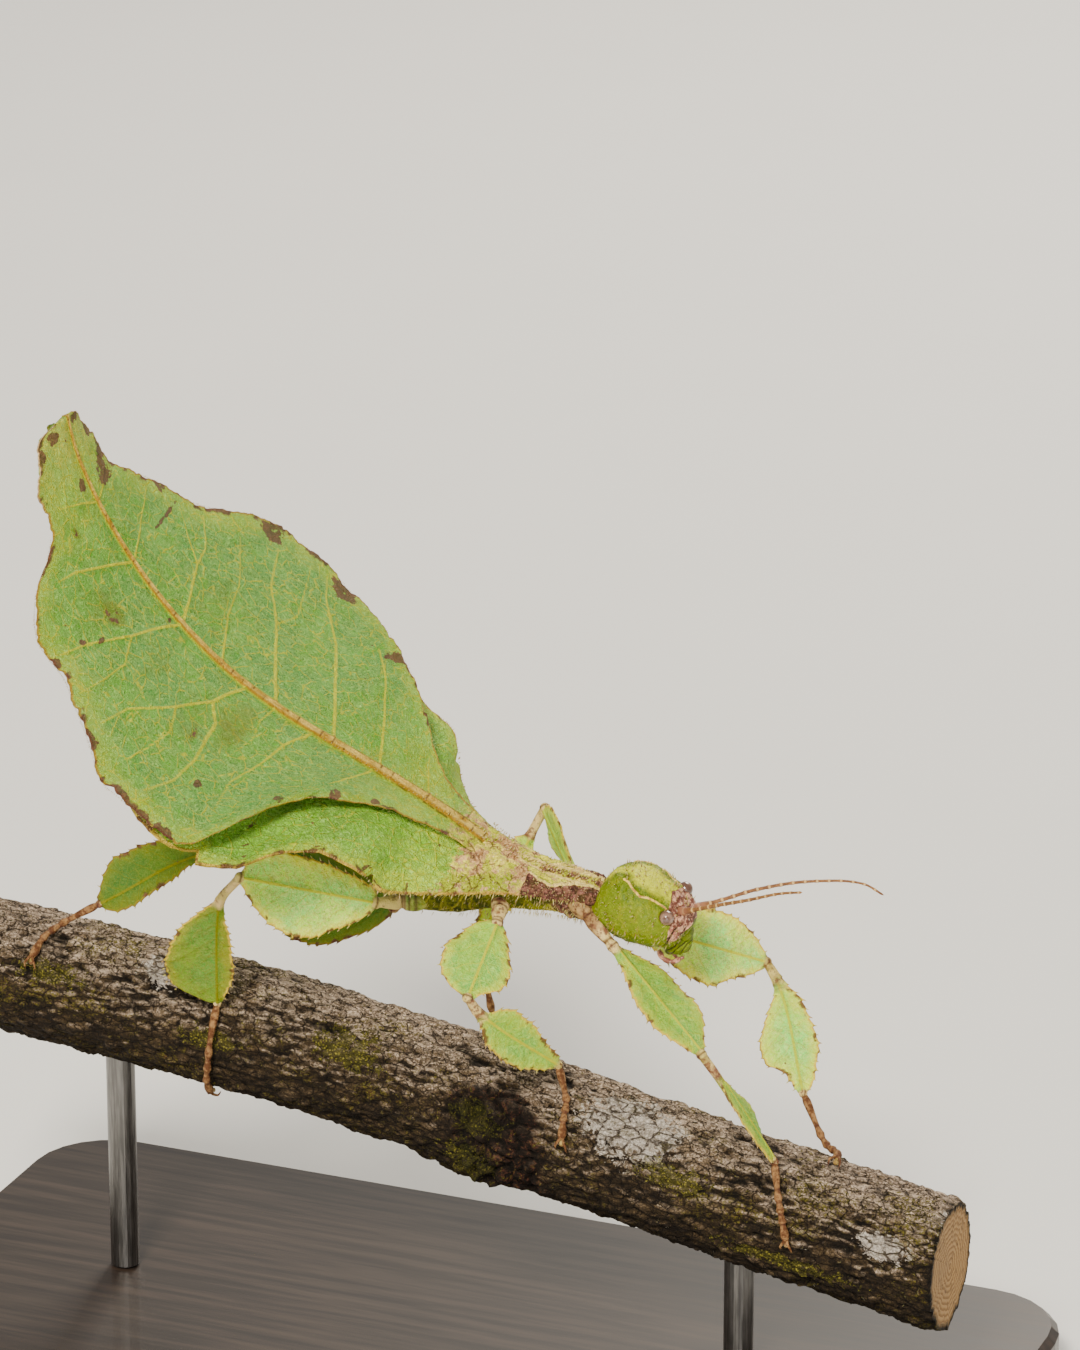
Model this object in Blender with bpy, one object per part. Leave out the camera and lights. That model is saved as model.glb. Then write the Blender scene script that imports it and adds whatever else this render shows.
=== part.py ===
"""Leaf insect gripping a cut branch: a still, life-size model on a plain display stand.

Sizes are in millimetres and become metres where a mesh is made. The frame has +X towards the
head, +Y to the animal's left, +Z up, and its origin under the middle of the stand's base.
"""
import math
import random

import bmesh
import bpy
import numpy as np

MM = 0.001
GAP = 0.3
HALF_GAP = GAP / 2
CUT_GAP = 0.38

# Stand and branch
BASE_LENGTH = 116.0
BASE_WIDTH = 60.0
BASE_THICKNESS = 6.0
BASE_CORNER = 9.0
BASE_BEVEL = 0.8
CORNER_STEPS = 6
ROD_SIDES = 20
ROD_RADIUS = 1.5
ROD_PLACES = {"rear": -37.0, "front": 31.0}
BRANCH_Y = 1.0
BRANCH_LINE = [(-53.0, 38.1), (-17.0, 34.5), (21.0, 27.6), (53.0, 21.9)]
BRANCH_RADIUS = 6.7
BRANCH_RINGS = 34
BRANCH_SIDES = 16
KNOT_X = 4.0
KNOT_LENGTH = 6.0
KNOT_HEIGHT = 0.9
BARK_ROUGHNESS = 0.1
BARK_SEED = 7

# Body frame: rolled towards the viewer about the long axis
BODY_HEIGHT = 52.0
ROLL = math.radians(12.0)
ALONG = np.array([1.0, 0.0, 0.0])
UPWARD = np.array([0.0, -math.sin(ROLL), math.cos(ROLL)])
RIGHTWARD = np.array([0.0, -math.cos(ROLL), -math.sin(ROLL)])

# Line of the back and midrib in the plane of symmetry, from the neck to the tip of the leaf
BACK_LINE = [(16.6, 5.8), (14.2, 6.2), (11.1, 6.7), (8.6, 7.5), (5.1, 9.1), (0.4, 12.0), (-4.8, 14.9),
             (-10.2, 17.7), (-15.4, 20.5), (-20.3, 23.9), (-24.6, 28.1), (-28.3, 32.9), (-31.3, 38.1),
             (-33.6, 43.6), (-34.8, 48.0), (-35.2, 51.5)]
BACK_ZERO = 2

# Distances along the back line where the trunk is divided
NECK = -5.3
WAIST = 0.0
WING_ROOT = 6.8
ABDOMEN_START = 13.2
ABDOMEN_END = 66.8
LEAF_TIP = 68.0

# Trunk: half width of the thin side flange, its droop, keel depth and keel half width
FLANGE_HALF = [(-5.6, 2.6), (-2.2, 3.3), (0.0, 3.6), (2.0, 4.3), (6.0, 6.5), (10.0, 9.4), (12.0, 11.0),
               (14.0, 12.0), (16.8, 13.4), (18.6, 13.5), (20.2, 14.6), (22.0, 16.3), (24.3, 19.6),
               (26.0, 20.9), (28.5, 22.2)]
FLANGE_DROOP = [(-5.6, 38.0), (2.0, 36.0), (6.0, 33.0), (10.0, 26.0), (12.5, 19.0), (14.2, 8.0), (16.0, 2.0),
                (18.5, 1.0), (23.0, 2.5), (25.0, 6.0), (28.0, 6.0)]
DROOP_START = 1.5
FLANGE_INSET = 0.9
KEEL_DEPTH = [(-5.6, 4.2), (-2.0, 4.3), (0.0, 4.9), (3.0, 7.0), (6.0, 9.6), (9.0, 11.9), (10.5, 11.9),
              (13.0, 9.3), (15.0, 7.7), (18.0, 6.2), (26.0, 4.3), (36.0, 3.1), (50.0, 2.4), (67.0, 1.9)]
KEEL_HALF = [(-5.6, 2.1), (0.0, 2.4), (6.0, 2.6), (10.0, 2.8), (15.0, 2.8), (26.0, 4.2), (40.0, 4.6),
             (54.0, 2.6), (67.0, 0.5)]
PLATE_THICKNESS = 1.0
PLATE_RIM = 0.5
WING_CLEARANCE = 0.35

# Forewings
WING_THICKNESS = 0.6
WING_RIM = 0.35
WING_HALF = {
    "right": [(6.0, 2.2), (10.0, 2.9), (13.5, 4.4), (16.7, 5.9), (18.6, 7.2), (20.6, 9.1), (22.2, 11.0),
              (23.9, 13.1), (25.2, 15.3), (26.4, 17.8), (27.8, 20.2), (29.6, 22.6), (31.5, 23.7),
              (38.8, 23.5), (42.3, 21.4), (46.0, 19.2), (49.0, 17.3), (52.3, 16.8), (54.0, 15.8),
              (56.0, 13.6), (57.6, 10.2), (59.5, 7.8), (63.0, 6.5), (65.6, 5.4), (67.2, 3.6), (68.0, 1.0)],
    "left": [(6.0, 2.2), (10.0, 2.8), (14.0, 4.6), (17.8, 8.6), (21.3, 12.4), (24.2, 15.0), (26.8, 18.3),
             (29.5, 22.0), (31.8, 23.1), (38.7, 24.2), (41.1, 23.8), (44.8, 21.2), (47.0, 18.3),
             (51.4, 14.2), (53.7, 12.7), (55.9, 10.4), (58.2, 7.7), (60.4, 5.7), (63.2, 4.9), (65.9, 3.4),
             (67.3, 2.2), (68.0, 0.9)],
}
WING_DROOP = [(6.0, 7.0), (10.0, 2.0), (14.0, -6.0), (18.0, -10.0), (22.0, -10.0), (26.0, -4.0), (30.0, 2.5),
              (34.0, 3.0), (42.0, 2.5), (50.0, 7.0), (58.0, 11.0), (66.0, 17.0), (68.0, 18.0)]
WING_COLUMNS = 6
CAMBER = 0.08
CAMBER_REACH = 24.0
RIPPLE_HEIGHT = 0.3
RIPPLE_LENGTH = 11.0
MIDRIB_HALF = 0.8
MIDRIB_HEIGHT = 0.45
VEIN_ROOTS = {
    "right": (13.5, 19.5, 26.5, 34.5, 43.6, 51.5, 58.5),
    "left": (13.5, 19.2, 24.5, 31.3, 38.0, 44.5, 51.5, 58.5),
}
VEIN_HALF = 0.55
VEIN_HEIGHT = 0.3
VEIN_SLANT = 10.0
VEIN_SLANT_SKEW = 0.6
SPINE_HEIGHT = 0.7
SPINE_RADIUS = 0.24
SPINE_SEED = 3
SPINE_SPANS = {"prothorax": (-2.7, -0.4, 3), "mesothorax": (0.5, 6.3, 6), "metathorax": (7.2, 12.8, 6)}
LOBE_TOOTH = 0.09

# Head: distance along the body, top, bottom and half width of each section
HEAD_SECTIONS = [(16.7, 5.1, 2.3, 2.1), (17.6, 6.7, 1.5, 2.9), (19.0, 7.9, 0.6, 3.6), (20.6, 8.3, 0.0, 4.0),
                 (22.2, 8.1, -0.1, 4.1), (23.6, 7.4, 0.2, 3.9), (24.8, 6.4, 0.8, 3.3),
                 (25.7, 5.3, 1.6, 2.4),
                 (26.3, 4.3, 2.5, 1.3)]
HEAD_SIDES = 16
POLE_INSET = 0.02
EYE_RADIUS = 0.65
EYE_PLACE = (24.95, 5.0, 2.65)
MOUTH_PLACE = (24.3, 0.8)
MOUTH_SIZE = (1.8, 1.7, 1.8)
PALP_RADIUS = 0.3
ANTENNA_RADIUS = 0.3
SCAPE_RADIUS = 0.5
ANTENNA_LINES = {
    "right": [(25.2, -1.7, 56.2), (27.3, -2.9, 57.2), (30.1, -4.3, 58.6), (34.0, -6.3, 60.5),
              (38.1, -8.4, 62.6), (40.8, -9.9, 63.7)],
    "left": [(25.4, -0.1, 55.9), (28.2, 2.3, 56.4), (31.0, 4.8, 57.0), (33.9, 7.3, 57.2),
             (37.4, 10.1, 56.9), (39.6, 11.7, 56.3), (41.4, 12.7, 55.0)],
}

# Legs: joints, the way that the lobes face and their scales, and the foot as places on the bark
# (x, degrees round the branch)
LEGS = {
    "hind_right": dict(
        hip=(-3.1, -3.1, 53.5), knuckle=(-5.7, -4.5, 53.5), knee=(-16.9, -12.2, 57.4),
        bend=(-20.3, -9.8, 53.0), ankle=(-23.0, -5.0, 40.2),
        foot=[(-23.4, 4.0), (-24.0, -26.0), (-24.5, -50.0)],
        femur_face=(-0.4, 0.8, -0.3), tibia_face=(-0.2, 0.9, 0.3),
        femur_scale=(1.0, 1.0), tibia_scale=(1.0, 1.0)),
    "hind_left": dict(
        hip=(-2.9, 2.3, 53.2), knuckle=(-7.0, 3.0, 50.0), knee=(-22.5, 4.1, 52.9),
        bend=(-26.6, 3.6, 52.7), ankle=(-38.5, 0.2, 46.6),
        foot=[(-42.3, 76.0), (-43.3, 58.0), (-43.9, 38.0)],
        femur_face=(-0.1, 0.9, -0.3), tibia_face=(0.2, -0.9, 0.3),
        femur_scale=(1.0, 1.4), tibia_scale=(0.32, 2.1)),
    "middle_right": dict(
        hip=(7.0, -3.0, 54.5), knuckle=(7.5, -5.0, 53.6), knee=(7.4, -12.4, 48.5),
        bend=(8.2, -11.0, 46.4), ankle=(13.1, -2.8, 38.4), foot=[(14.0, 57.0), (14.4, 40.0), (14.6, 24.0)],
        femur_face=(-0.4, 0.5, -0.7), tibia_face=(0.8, -0.6, -0.1),
        femur_scale=(1.0, 1.0), tibia_scale=(1.0, 1.0)),
    "middle_left": dict(
        hip=(9.3, 3.0, 54.3), knuckle=(11.0, 6.2, 55.5), knee=(5.8, 11.7, 59.4),
        bend=(4.6, 11.0, 56.6), ankle=(1.1, 5.6, 46.5), foot=[(4.0, 112.0), (4.6, 104.0), (5.0, 92.0)],
        femur_face=(-0.8, -0.6, -0.2), tibia_face=(-0.4, 0.9, -0.3),
        femur_scale=(1.0, 1.0), tibia_scale=(1.1, 0.6)),
    "front_right": dict(
        hip=(16.0, -3.0, 55.2), knuckle=(19.4, -4.3, 52.7), knee=(29.7, -6.9, 43.9),
        bend=(31.2, -6.2, 41.4), ankle=(35.9, -2.8, 31.8), foot=[(37.4, 31.0), (38.0, 18.0), (38.4, 5.0)],
        femur_face=(0.6, -0.3, 0.8), tibia_face=(0.9, 0.3, 0.5),
        femur_scale=(1.0, 0.8), tibia_scale=(1.0, 0.8)),
    "front_left": dict(
        hip=(15.6, 2.6, 54.5), knuckle=(17.8, 4.3, 51.6), knee=(29.3, 12.6, 46.0),
        bend=(30.9, 11.9, 43.9), ankle=(35.8, 5.7, 35.6), foot=[(39.6, 108.0), (40.6, 101.0), (41.0, 92.0)],
        femur_face=(0.6, -0.7, 0.3), tibia_face=(-0.2, 0.8, -0.6),
        femur_scale=(1.0, 1.15), tibia_scale=(1.0, 1.0)),
}
JOINTS = ("hip", "knuckle", "knee", "bend", "ankle")
FOOT_CLEARANCE = 0.05
COXA_ROOT = 1.7
COXA_RADIUS = 1.05
KNUCKLE_RADIUS = 0.62
FEMUR_RIB = 0.6
KNEE_RADIUS = 0.5
ANKLE_RADIUS = 0.42
LOBE_HALF_THICKNESS = 0.27
LOBE_HALF_RIM = 0.2
SEGMENT_RINGS = 14
SEGMENT_END_STEP = 1.2
TARSUS_RADIUS = 0.4
TARSUS_RINGS = 13
CLAW_RADIUS = 0.2
CLAW_SPREAD = 1.0
CLAW_SIDES = 5

# Path of a claw: share of its spread along the branch, degrees past the foot, height above the bark
CLAW_PATH = [(0.0, -2.5, 0.7), (0.35, 3.0, 0.75), (0.5, 7.0, 0.65), (0.5, 10.0, 0.42)]
CLAW_TAPER = [1.0, 1.0, 0.7, 0.3]

# Lobe widths: (share of the segment's length, width), the upper or outer side first
FEMUR_LOBES = {
    "front": ([(0.0, 0.5), (0.1, 1.3), (0.22, 2.4), (0.4, 3.5), (0.58, 3.6), (0.74, 3.3), (0.87, 2.2),
               (1.0, 0.5)],
              [(0.0, 0.5), (0.12, 1.1), (0.35, 2.4), (0.52, 3.2), (0.65, 3.3), (0.78, 2.4), (0.92, 1.4),
               (1.0, 0.5)]),
    "middle": ([(0.0, 0.9), (0.1, 2.0), (0.28, 3.0), (0.5, 3.9), (0.68, 3.8), (0.83, 3.2), (0.94, 2.0),
                (1.0, 0.5)],
               [(0.0, 0.6), (0.12, 1.4), (0.28, 2.2), (0.45, 2.8), (0.62, 3.1), (0.75, 2.8),
                (0.87, 1.6), (1.0, 0.5)]),
    "hind": ([(0.0, 1.0), (0.12, 1.9), (0.26, 2.5), (0.45, 3.0), (0.62, 3.3), (0.83, 3.2), (0.94, 2.3),
              (1.0, 0.5)],
             [(0.0, 0.7), (0.11, 2.2), (0.24, 3.4), (0.43, 4.6), (0.57, 4.8), (0.68, 4.3), (0.85, 2.7),
              (1.0, 0.5)]),
}
TIBIA_LOBES = {
    "front": ([(0.0, 0.4), (0.2, 0.6), (0.34, 1.7), (0.47, 2.8), (0.6, 3.4), (0.72, 3.2), (0.84, 1.4),
               (1.0, 0.4)],
              [(0.0, 0.4), (0.18, 0.8), (0.34, 1.7), (0.5, 2.2), (0.66, 2.4), (0.84, 1.8), (0.95, 1.1),
               (1.0, 0.4)]),
    "middle": ([(0.0, 0.4), (0.2, 0.5), (0.31, 1.7), (0.42, 2.4), (0.55, 2.3), (0.75, 1.5), (0.92, 0.9),
                (1.0, 0.4)],
               [(0.0, 0.4), (0.2, 0.8), (0.4, 2.1), (0.55, 2.5), (0.7, 2.4), (0.84, 1.8), (0.95, 0.9),
                (1.0, 0.4)]),
    "hind": ([(0.0, 0.4), (0.28, 0.6), (0.36, 1.6), (0.51, 3.7), (0.66, 4.9), (0.8, 5.4), (0.92, 5.0),
              (1.0, 1.2)],
             [(0.0, 0.4), (0.3, 0.5), (0.5, 1.2), (0.65, 1.6), (0.78, 1.7), (0.9, 1.2), (0.96, 0.7),
              (1.0, 0.4)]),
}

# Colours: base colour and roughness of each kind of surface
LOOKS = {
    "leaf_green": ((0.16, 0.34, 0.08), 0.6),
    "limb_green": ((0.14, 0.36, 0.13), 0.6),
    "thorax_pink": ((0.5, 0.38, 0.28), 0.65),
    "head_olive": ((0.3, 0.32, 0.14), 0.65),
    "joint_tan": ((0.36, 0.22, 0.13), 0.6),
    "feeler_brown": ((0.2, 0.13, 0.08), 0.55),
    "eye_brown": ((0.08, 0.07, 0.06), 0.2),
    "bark": ((0.3, 0.26, 0.22), 0.85),
    "stand_dark": ((0.03, 0.03, 0.032), 0.45),
}


def clear_scene():
    for item in list(bpy.data.objects):
        bpy.data.objects.remove(item, do_unlink=True)


def unit(vector):
    return vector / np.linalg.norm(vector)


def smooth_value(table, at):
    """Read a smooth curve, without overshoot, through (position, value) pairs."""
    places = np.array([row[0] for row in table], float)
    values = np.array([row[1] for row in table], float)
    steps = np.diff(places)
    slopes = np.diff(values) / steps
    tangents = np.zeros(len(places))
    tangents[0] = slopes[0]
    tangents[-1] = slopes[-1]
    for index in range(1, len(places) - 1):
        before = slopes[index - 1]
        after = slopes[index]
        if before * after > 0:
            tangents[index] = 2 * before * after / (before + after)
    at = min(max(at, places[0]), places[-1])
    index = min(int(np.searchsorted(places, at, side="right")) - 1, len(steps) - 1)
    step = steps[index]
    t = (at - places[index]) / step
    start = values[index] * (1 + 2 * t) * (1 - t) ** 2 + step * tangents[index] * t * (1 - t) ** 2
    end = values[index + 1] * t * t * (3 - 2 * t) - step * tangents[index + 1] * t * t * (1 - t)
    return start + end


def measured(points, zero=0):
    """Give each coordinate of a line as a table over the distance along it."""
    points = np.array(points, float)
    lengths = np.concatenate([[0.0], np.cumsum(np.linalg.norm(np.diff(points, axis=0), axis=1))])
    lengths = lengths - lengths[zero]
    return [list(zip(lengths, column)) for column in points.T]


def read_line(tables, at):
    return np.array([smooth_value(table, at) for table in tables])


def even(count):
    return [index / (count - 1) for index in range(count)]


def smooth_line(points, shares):
    """Return points at shares of the way along a smooth line through the given ones."""
    tables = measured(points)
    length = tables[0][-1][0]
    return [read_line(tables, length * share) for share in shares]


def add_mesh(name, points, faces):
    mesh = bpy.data.meshes.new(name)
    mesh.from_pydata([tuple(float(value) * MM for value in point) for point in points], [], faces)
    shape = bmesh.new()
    shape.from_mesh(mesh)
    bmesh.ops.recalc_face_normals(shape, faces=shape.faces)
    shape.to_mesh(mesh)
    shape.free()
    item = bpy.data.objects.new(name, mesh)
    bpy.context.scene.collection.objects.link(item)
    return item


def loft(name, rings):
    """Skin rings of equal count into a closed mesh, with opposite faces split alike."""
    sides = len(rings[0])
    points = [point for ring in rings for point in ring]
    reach = [np.linalg.norm(np.array(ring) - np.mean(ring, axis=0), axis=1) for ring in rings]
    faces = []
    for row in range(len(rings) - 1):
        spread = reach[row] + reach[row + 1]
        for side in range(sides):
            after = (side + 1) % sides
            a = row * sides + side
            b = row * sides + after
            c = (row + 1) * sides + after
            d = (row + 1) * sides + side
            if spread[after] > spread[side]:
                faces += [(a, b, c), (a, c, d)]
            else:
                faces += [(a, b, d), (b, c, d)]
    faces.append(tuple(range(sides - 1, -1, -1)))
    faces.append(tuple(range((len(rings) - 1) * sides, len(rings) * sides)))
    return add_mesh(name, points, faces)


def keep_largest(item):
    """Keep only the closed surface that holds the greatest volume."""
    shape = bmesh.new()
    shape.from_mesh(item.data)
    left = set(shape.faces)
    islands = []
    while left:
        stack = [left.pop()]
        island = []
        while stack:
            face = stack.pop()
            island.append(face)
            for edge in face.edges:
                for neighbour in edge.link_faces:
                    if neighbour in left:
                        left.remove(neighbour)
                        stack.append(neighbour)
        islands.append(island)

    def volume(island):
        total = 0.0
        for face in island:
            corners = [loop.vert.co for loop in face.loops]
            for second, third in zip(corners[1:-1], corners[2:]):
                total += corners[0].dot(second.cross(third)) / 6
        return total

    islands.sort(key=volume, reverse=True)
    for island in islands[1:]:
        bmesh.ops.delete(shape, geom=island, context="FACES")
    shape.to_mesh(item.data)
    shape.free()


def combine(item, others, operation, solver="EXACT"):
    """Join or cut an object with others by one Boolean, applied, and remove the others."""
    group = bpy.data.collections.new("tools")
    bpy.context.scene.collection.children.link(group)
    for other in others:
        group.objects.link(other)
    modifier = item.modifiers.new(operation, "BOOLEAN")
    modifier.operation = operation
    modifier.operand_type = "COLLECTION"
    modifier.collection = group
    modifier.solver = solver
    graph = bpy.context.evaluated_depsgraph_get()
    mesh = bpy.data.meshes.new_from_object(item.evaluated_get(graph))
    item.modifiers.clear()
    item.data = mesh
    for other in others:
        bpy.data.objects.remove(other, do_unlink=True)
    bpy.data.collections.remove(group)
    keep_largest(item)
    return item


def finish(item, look, sharp=40.0):
    """Shade an object and give it its own material."""
    colour, roughness = LOOKS[look]
    material = bpy.data.materials.new(item.name)
    material.use_nodes = True
    shader = material.node_tree.nodes["Principled BSDF"]
    shader.inputs["Base Color"].default_value = (*colour, 1.0)
    shader.inputs["Roughness"].default_value = roughness
    shader.inputs["Metallic"].default_value = 0.0
    item.data.materials.clear()
    item.data.materials.append(material)
    item.data.shade_smooth()
    item.data.set_sharp_from_angle(angle=math.radians(sharp))
    return item


def grown(outline, amount):
    """Move the corners of a flat outline outwards, by about the given amount."""
    outline = np.array(outline, float)
    ahead = np.roll(outline, -1, axis=0) - outline
    behind = outline - np.roll(outline, 1, axis=0)
    turn = ahead / np.linalg.norm(ahead, axis=1)[:, None] + behind / np.linalg.norm(behind, axis=1)[:, None]
    normal = np.stack([turn[:, 1], -turn[:, 0]], axis=1)
    normal = normal / np.linalg.norm(normal, axis=1)[:, None]
    area = np.sum(outline[:, 0] * np.roll(outline[:, 1], -1) - np.roll(outline[:, 0], -1) * outline[:, 1])
    return outline + normal * amount * math.copysign(1.0, area)


def slide_to_plane(ring, direction, plane):
    """Slide a ring's points along one direction until they lie on a plane."""
    origin, normal = plane
    return [point + direction * (np.dot(origin - point, normal) / np.dot(direction, normal))
            for point in ring]


# Branch and stand
def branch_centre(x):
    return np.array([x, BRANCH_Y, smooth_value(BRANCH_LINE, x)])


def branch_radius(x, angle):
    """Radius of the bark, with the knot swollen mostly on the underside."""
    knot = KNOT_HEIGHT * math.exp(-((x - KNOT_X) / KNOT_LENGTH) ** 2) * (0.6 - 0.4 * math.sin(angle))
    furrow = math.sin(3 * angle + 0.12 * x) + 0.7 * math.sin(5 * angle - 0.2 * x)
    return BRANCH_RADIUS + knot + BARK_ROUGHNESS * furrow


def on_branch(x, degrees, height):
    """Point at a height above the bark; 0 degrees faces the viewer and 90 degrees is on top."""
    angle = math.radians(degrees)
    reach = branch_radius(x, angle) + height
    return branch_centre(x) + reach * np.array([0.0, -math.cos(angle), math.sin(angle)])


def branch_solid(name, grow, rough):
    draw = random.Random(BARK_SEED)
    start = BRANCH_LINE[0][0]
    end = BRANCH_LINE[-1][0]
    rings = []
    for row in range(BRANCH_RINGS):
        x = start + (end - start) * row / (BRANCH_RINGS - 1)
        ring = []
        for side in range(BRANCH_SIDES):
            bump = rough * draw.uniform(-1.0, 0.0)
            ring.append(on_branch(x, 360.0 * side / BRANCH_SIDES, grow + bump))
        rings.append(ring)
    return loft(name, rings)


def make_stand():
    half_length = BASE_LENGTH / 2 - BASE_CORNER
    half_width = BASE_WIDTH / 2 - BASE_CORNER
    corners = []
    for quarter, (x, y) in enumerate([(half_length, half_width), (-half_length, half_width),
                                      (-half_length, -half_width), (half_length, -half_width)]):
        for step in range(CORNER_STEPS + 1):
            angle = math.radians(90.0 * (quarter + step / CORNER_STEPS))
            corners.append((x + BASE_CORNER * math.cos(angle), y + BASE_CORNER * math.sin(angle)))
    rings = []
    for inset, z in ((BASE_BEVEL, 0.0), (0.0, BASE_BEVEL), (0.0, BASE_THICKNESS - BASE_BEVEL),
                     (BASE_BEVEL, BASE_THICKNESS)):
        rings.append([np.array([x, y, z]) for x, y in grown(corners, -inset)])
    finish(loft("stand_base", rings), "stand_dark")
    for name, x in ROD_PLACES.items():
        top = branch_centre(x)
        rod_rings = []
        for z in (BASE_THICKNESS + GAP, top[2]):
            circle = [2 * math.pi * side / ROD_SIDES for side in range(ROD_SIDES)]
            rod_rings.append([np.array([x, BRANCH_Y, z])
                              + ROD_RADIUS * np.array([math.cos(angle), math.sin(angle), 0.0])
                              for angle in circle])
        rod = loft("stand_rod_" + name, rod_rings)
        combine(rod, [branch_solid("cutter", GAP, 0.0)], "DIFFERENCE")
        finish(rod, "stand_dark")


# Trunk
BACK_TABLES = measured(BACK_LINE, BACK_ZERO)


def body_point(along, up, right):
    return np.array([0.0, 0.0, BODY_HEIGHT]) + along * ALONG + up * UPWARD + right * RIGHTWARD


def back_frame(s):
    """Point on the back line and its upward normal, at a distance along it."""
    x, u = read_line(BACK_TABLES, s)
    ahead = read_line(BACK_TABLES, s + 0.5) - read_line(BACK_TABLES, s - 0.5)
    ahead = unit(ahead)
    normal = -ahead[0] * UPWARD + ahead[1] * ALONG
    return body_point(x, u, 0.0), normal


def leaf_point(s, across, droop, depth):
    """Point of the leaf at a distance along and across it, at a depth below its upper surface."""
    centre, normal = back_frame(s)
    reach = abs(across)
    angle = math.radians(droop)
    bent = max(reach - DROOP_START, 0.0)
    crown = CAMBER * reach * (1 - reach / CAMBER_REACH)
    ripple = RIPPLE_HEIGHT * math.sin(2 * math.pi * s / RIPPLE_LENGTH) * (reach / CAMBER_REACH) ** 2
    side = math.copysign(1.0, across) * RIGHTWARD
    return (centre + (reach - bent + bent * math.cos(angle)) * side
            + (crown + ripple - depth - bent * math.sin(angle)) * normal)


def slant(s):
    """How far back a cross line of the leaf has moved when it reaches the margin."""
    share = (s - ABDOMEN_START) / (LEAF_TIP - ABDOMEN_START)
    share = min(max(share, 0.0), 1.0) ** VEIN_SLANT_SKEW
    return VEIN_SLANT * math.sin(math.pi * share) ** 2


def flange_half(s, side):
    last = FLANGE_HALF[-1]
    if s <= last[0]:
        return smooth_value(FLANGE_HALF, s)
    return max(smooth_value(WING_HALF[side], s) - FLANGE_INSET, 0.6)


def flange_droop(s):
    if s < FLANGE_DROOP[-1][0]:
        return smooth_value(FLANGE_DROOP, s)
    return max(smooth_value(WING_DROOP, s), FLANGE_DROOP[-1][1] * math.exp(-(s - FLANGE_DROOP[-1][0]) / 4))


def trunk_ring(s, top, grow=0.0):
    """Section across the trunk: a thin flange on each side and a keel below."""
    margin = s + slant(s)
    under = top + PLATE_THICKNESS
    bottom = max(smooth_value(KEEL_DEPTH, s), under + 0.4)
    fall = bottom - under
    rim = top + 0.5 * (PLATE_THICKNESS - PLATE_RIM)
    halves = {}
    flanks = []
    for name, sign in (("right", 1.0), ("left", -1.0)):
        half = flange_half(margin, name)
        halves[sign] = half
        keel = smooth_value(KEEL_HALF, s)
        keel = min(keel, half - 0.8) if half > 1.6 else half * 0.5
        flank = [(0.35 * half, top), (0.7 * half, top), (half, rim), (half, rim + PLATE_RIM),
                 (0.65 * half + 0.35 * keel, under - 0.1), (keel + 0.25, under + 0.12 * fall),
                 (keel, under + 0.4 * fall), (0.92 * keel, under + 0.75 * fall),
                 (0.5 * keel, under + 0.96 * fall)]
        flanks.append([(sign * across, depth) for across, depth in flank])
    outline = [(0.0, top)] + flanks[0] + [(0.0, bottom)] + flanks[1][::-1]
    if grow:
        outline = [tuple(point) for point in grown(outline, grow)]
    ring = []
    for across, depth in outline:
        half = halves[math.copysign(1.0, across)]
        place = s + (margin - s) * min(abs(across) / half, 1.0)
        ring.append(leaf_point(place, across, flange_droop(place), depth))
    return ring


def trunk_solid(name, start, end, count, top, grow=0.0):
    stations = [start + (end - start) * index / (count - 1) for index in range(count)]
    return loft(name, [trunk_ring(s, top, grow) for s in stations])


def thorax_cutter():
    return trunk_solid("cutter", NECK - GAP, 2 * ABDOMEN_START - WING_ROOT, 16, 0.0, CUT_GAP)


def flange_spines(start, end, count, top, draw):
    """Short spines along both side edges of one part of the trunk, rooted inside the flange."""
    spines = []
    for side, sign in (("right", 1.0), ("left", -1.0)):
        for index in range(count):
            s = start + (end - start) * (index + 0.5 + draw.uniform(-0.2, 0.2)) / count
            half = flange_half(s, side)
            droop = flange_droop(s)
            height = SPINE_HEIGHT * draw.uniform(0.7, 1.1)
            depth = top + 0.5 * PLATE_THICKNESS
            root = leaf_point(s, sign * (half - 0.5), droop, depth)
            rim = leaf_point(s, sign * half, droop, depth)
            outward = unit(rim - root)
            spines.append(tube("spine", [root, rim, rim + outward * height],
                               [SPINE_RADIUS, 0.8 * SPINE_RADIUS, 0.2 * SPINE_RADIUS], 5))
    return spines


def make_trunk():
    draw = random.Random(SPINE_SEED)
    plate_top = WING_THICKNESS + WING_CLEARANCE
    spans = {"prothorax": (NECK, WAIST - HALF_GAP, 5, 0.0, "thorax_pink"),
             "mesothorax": (WAIST + HALF_GAP, WING_ROOT - HALF_GAP, 6, 0.0, "thorax_pink"),
             "metathorax": (WING_ROOT + HALF_GAP, ABDOMEN_START - HALF_GAP, 6, plate_top, "leaf_green"),
             "abdomen": (ABDOMEN_START + HALF_GAP, ABDOMEN_END, 30, plate_top, "leaf_green")}
    for name, (start, end, count, top, look) in spans.items():
        item = trunk_solid(name, start, end, count, top)
        if name in SPINE_SPANS:
            combine(item, flange_spines(*SPINE_SPANS[name], top, draw), "UNION")
        finish(item, look)


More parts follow.
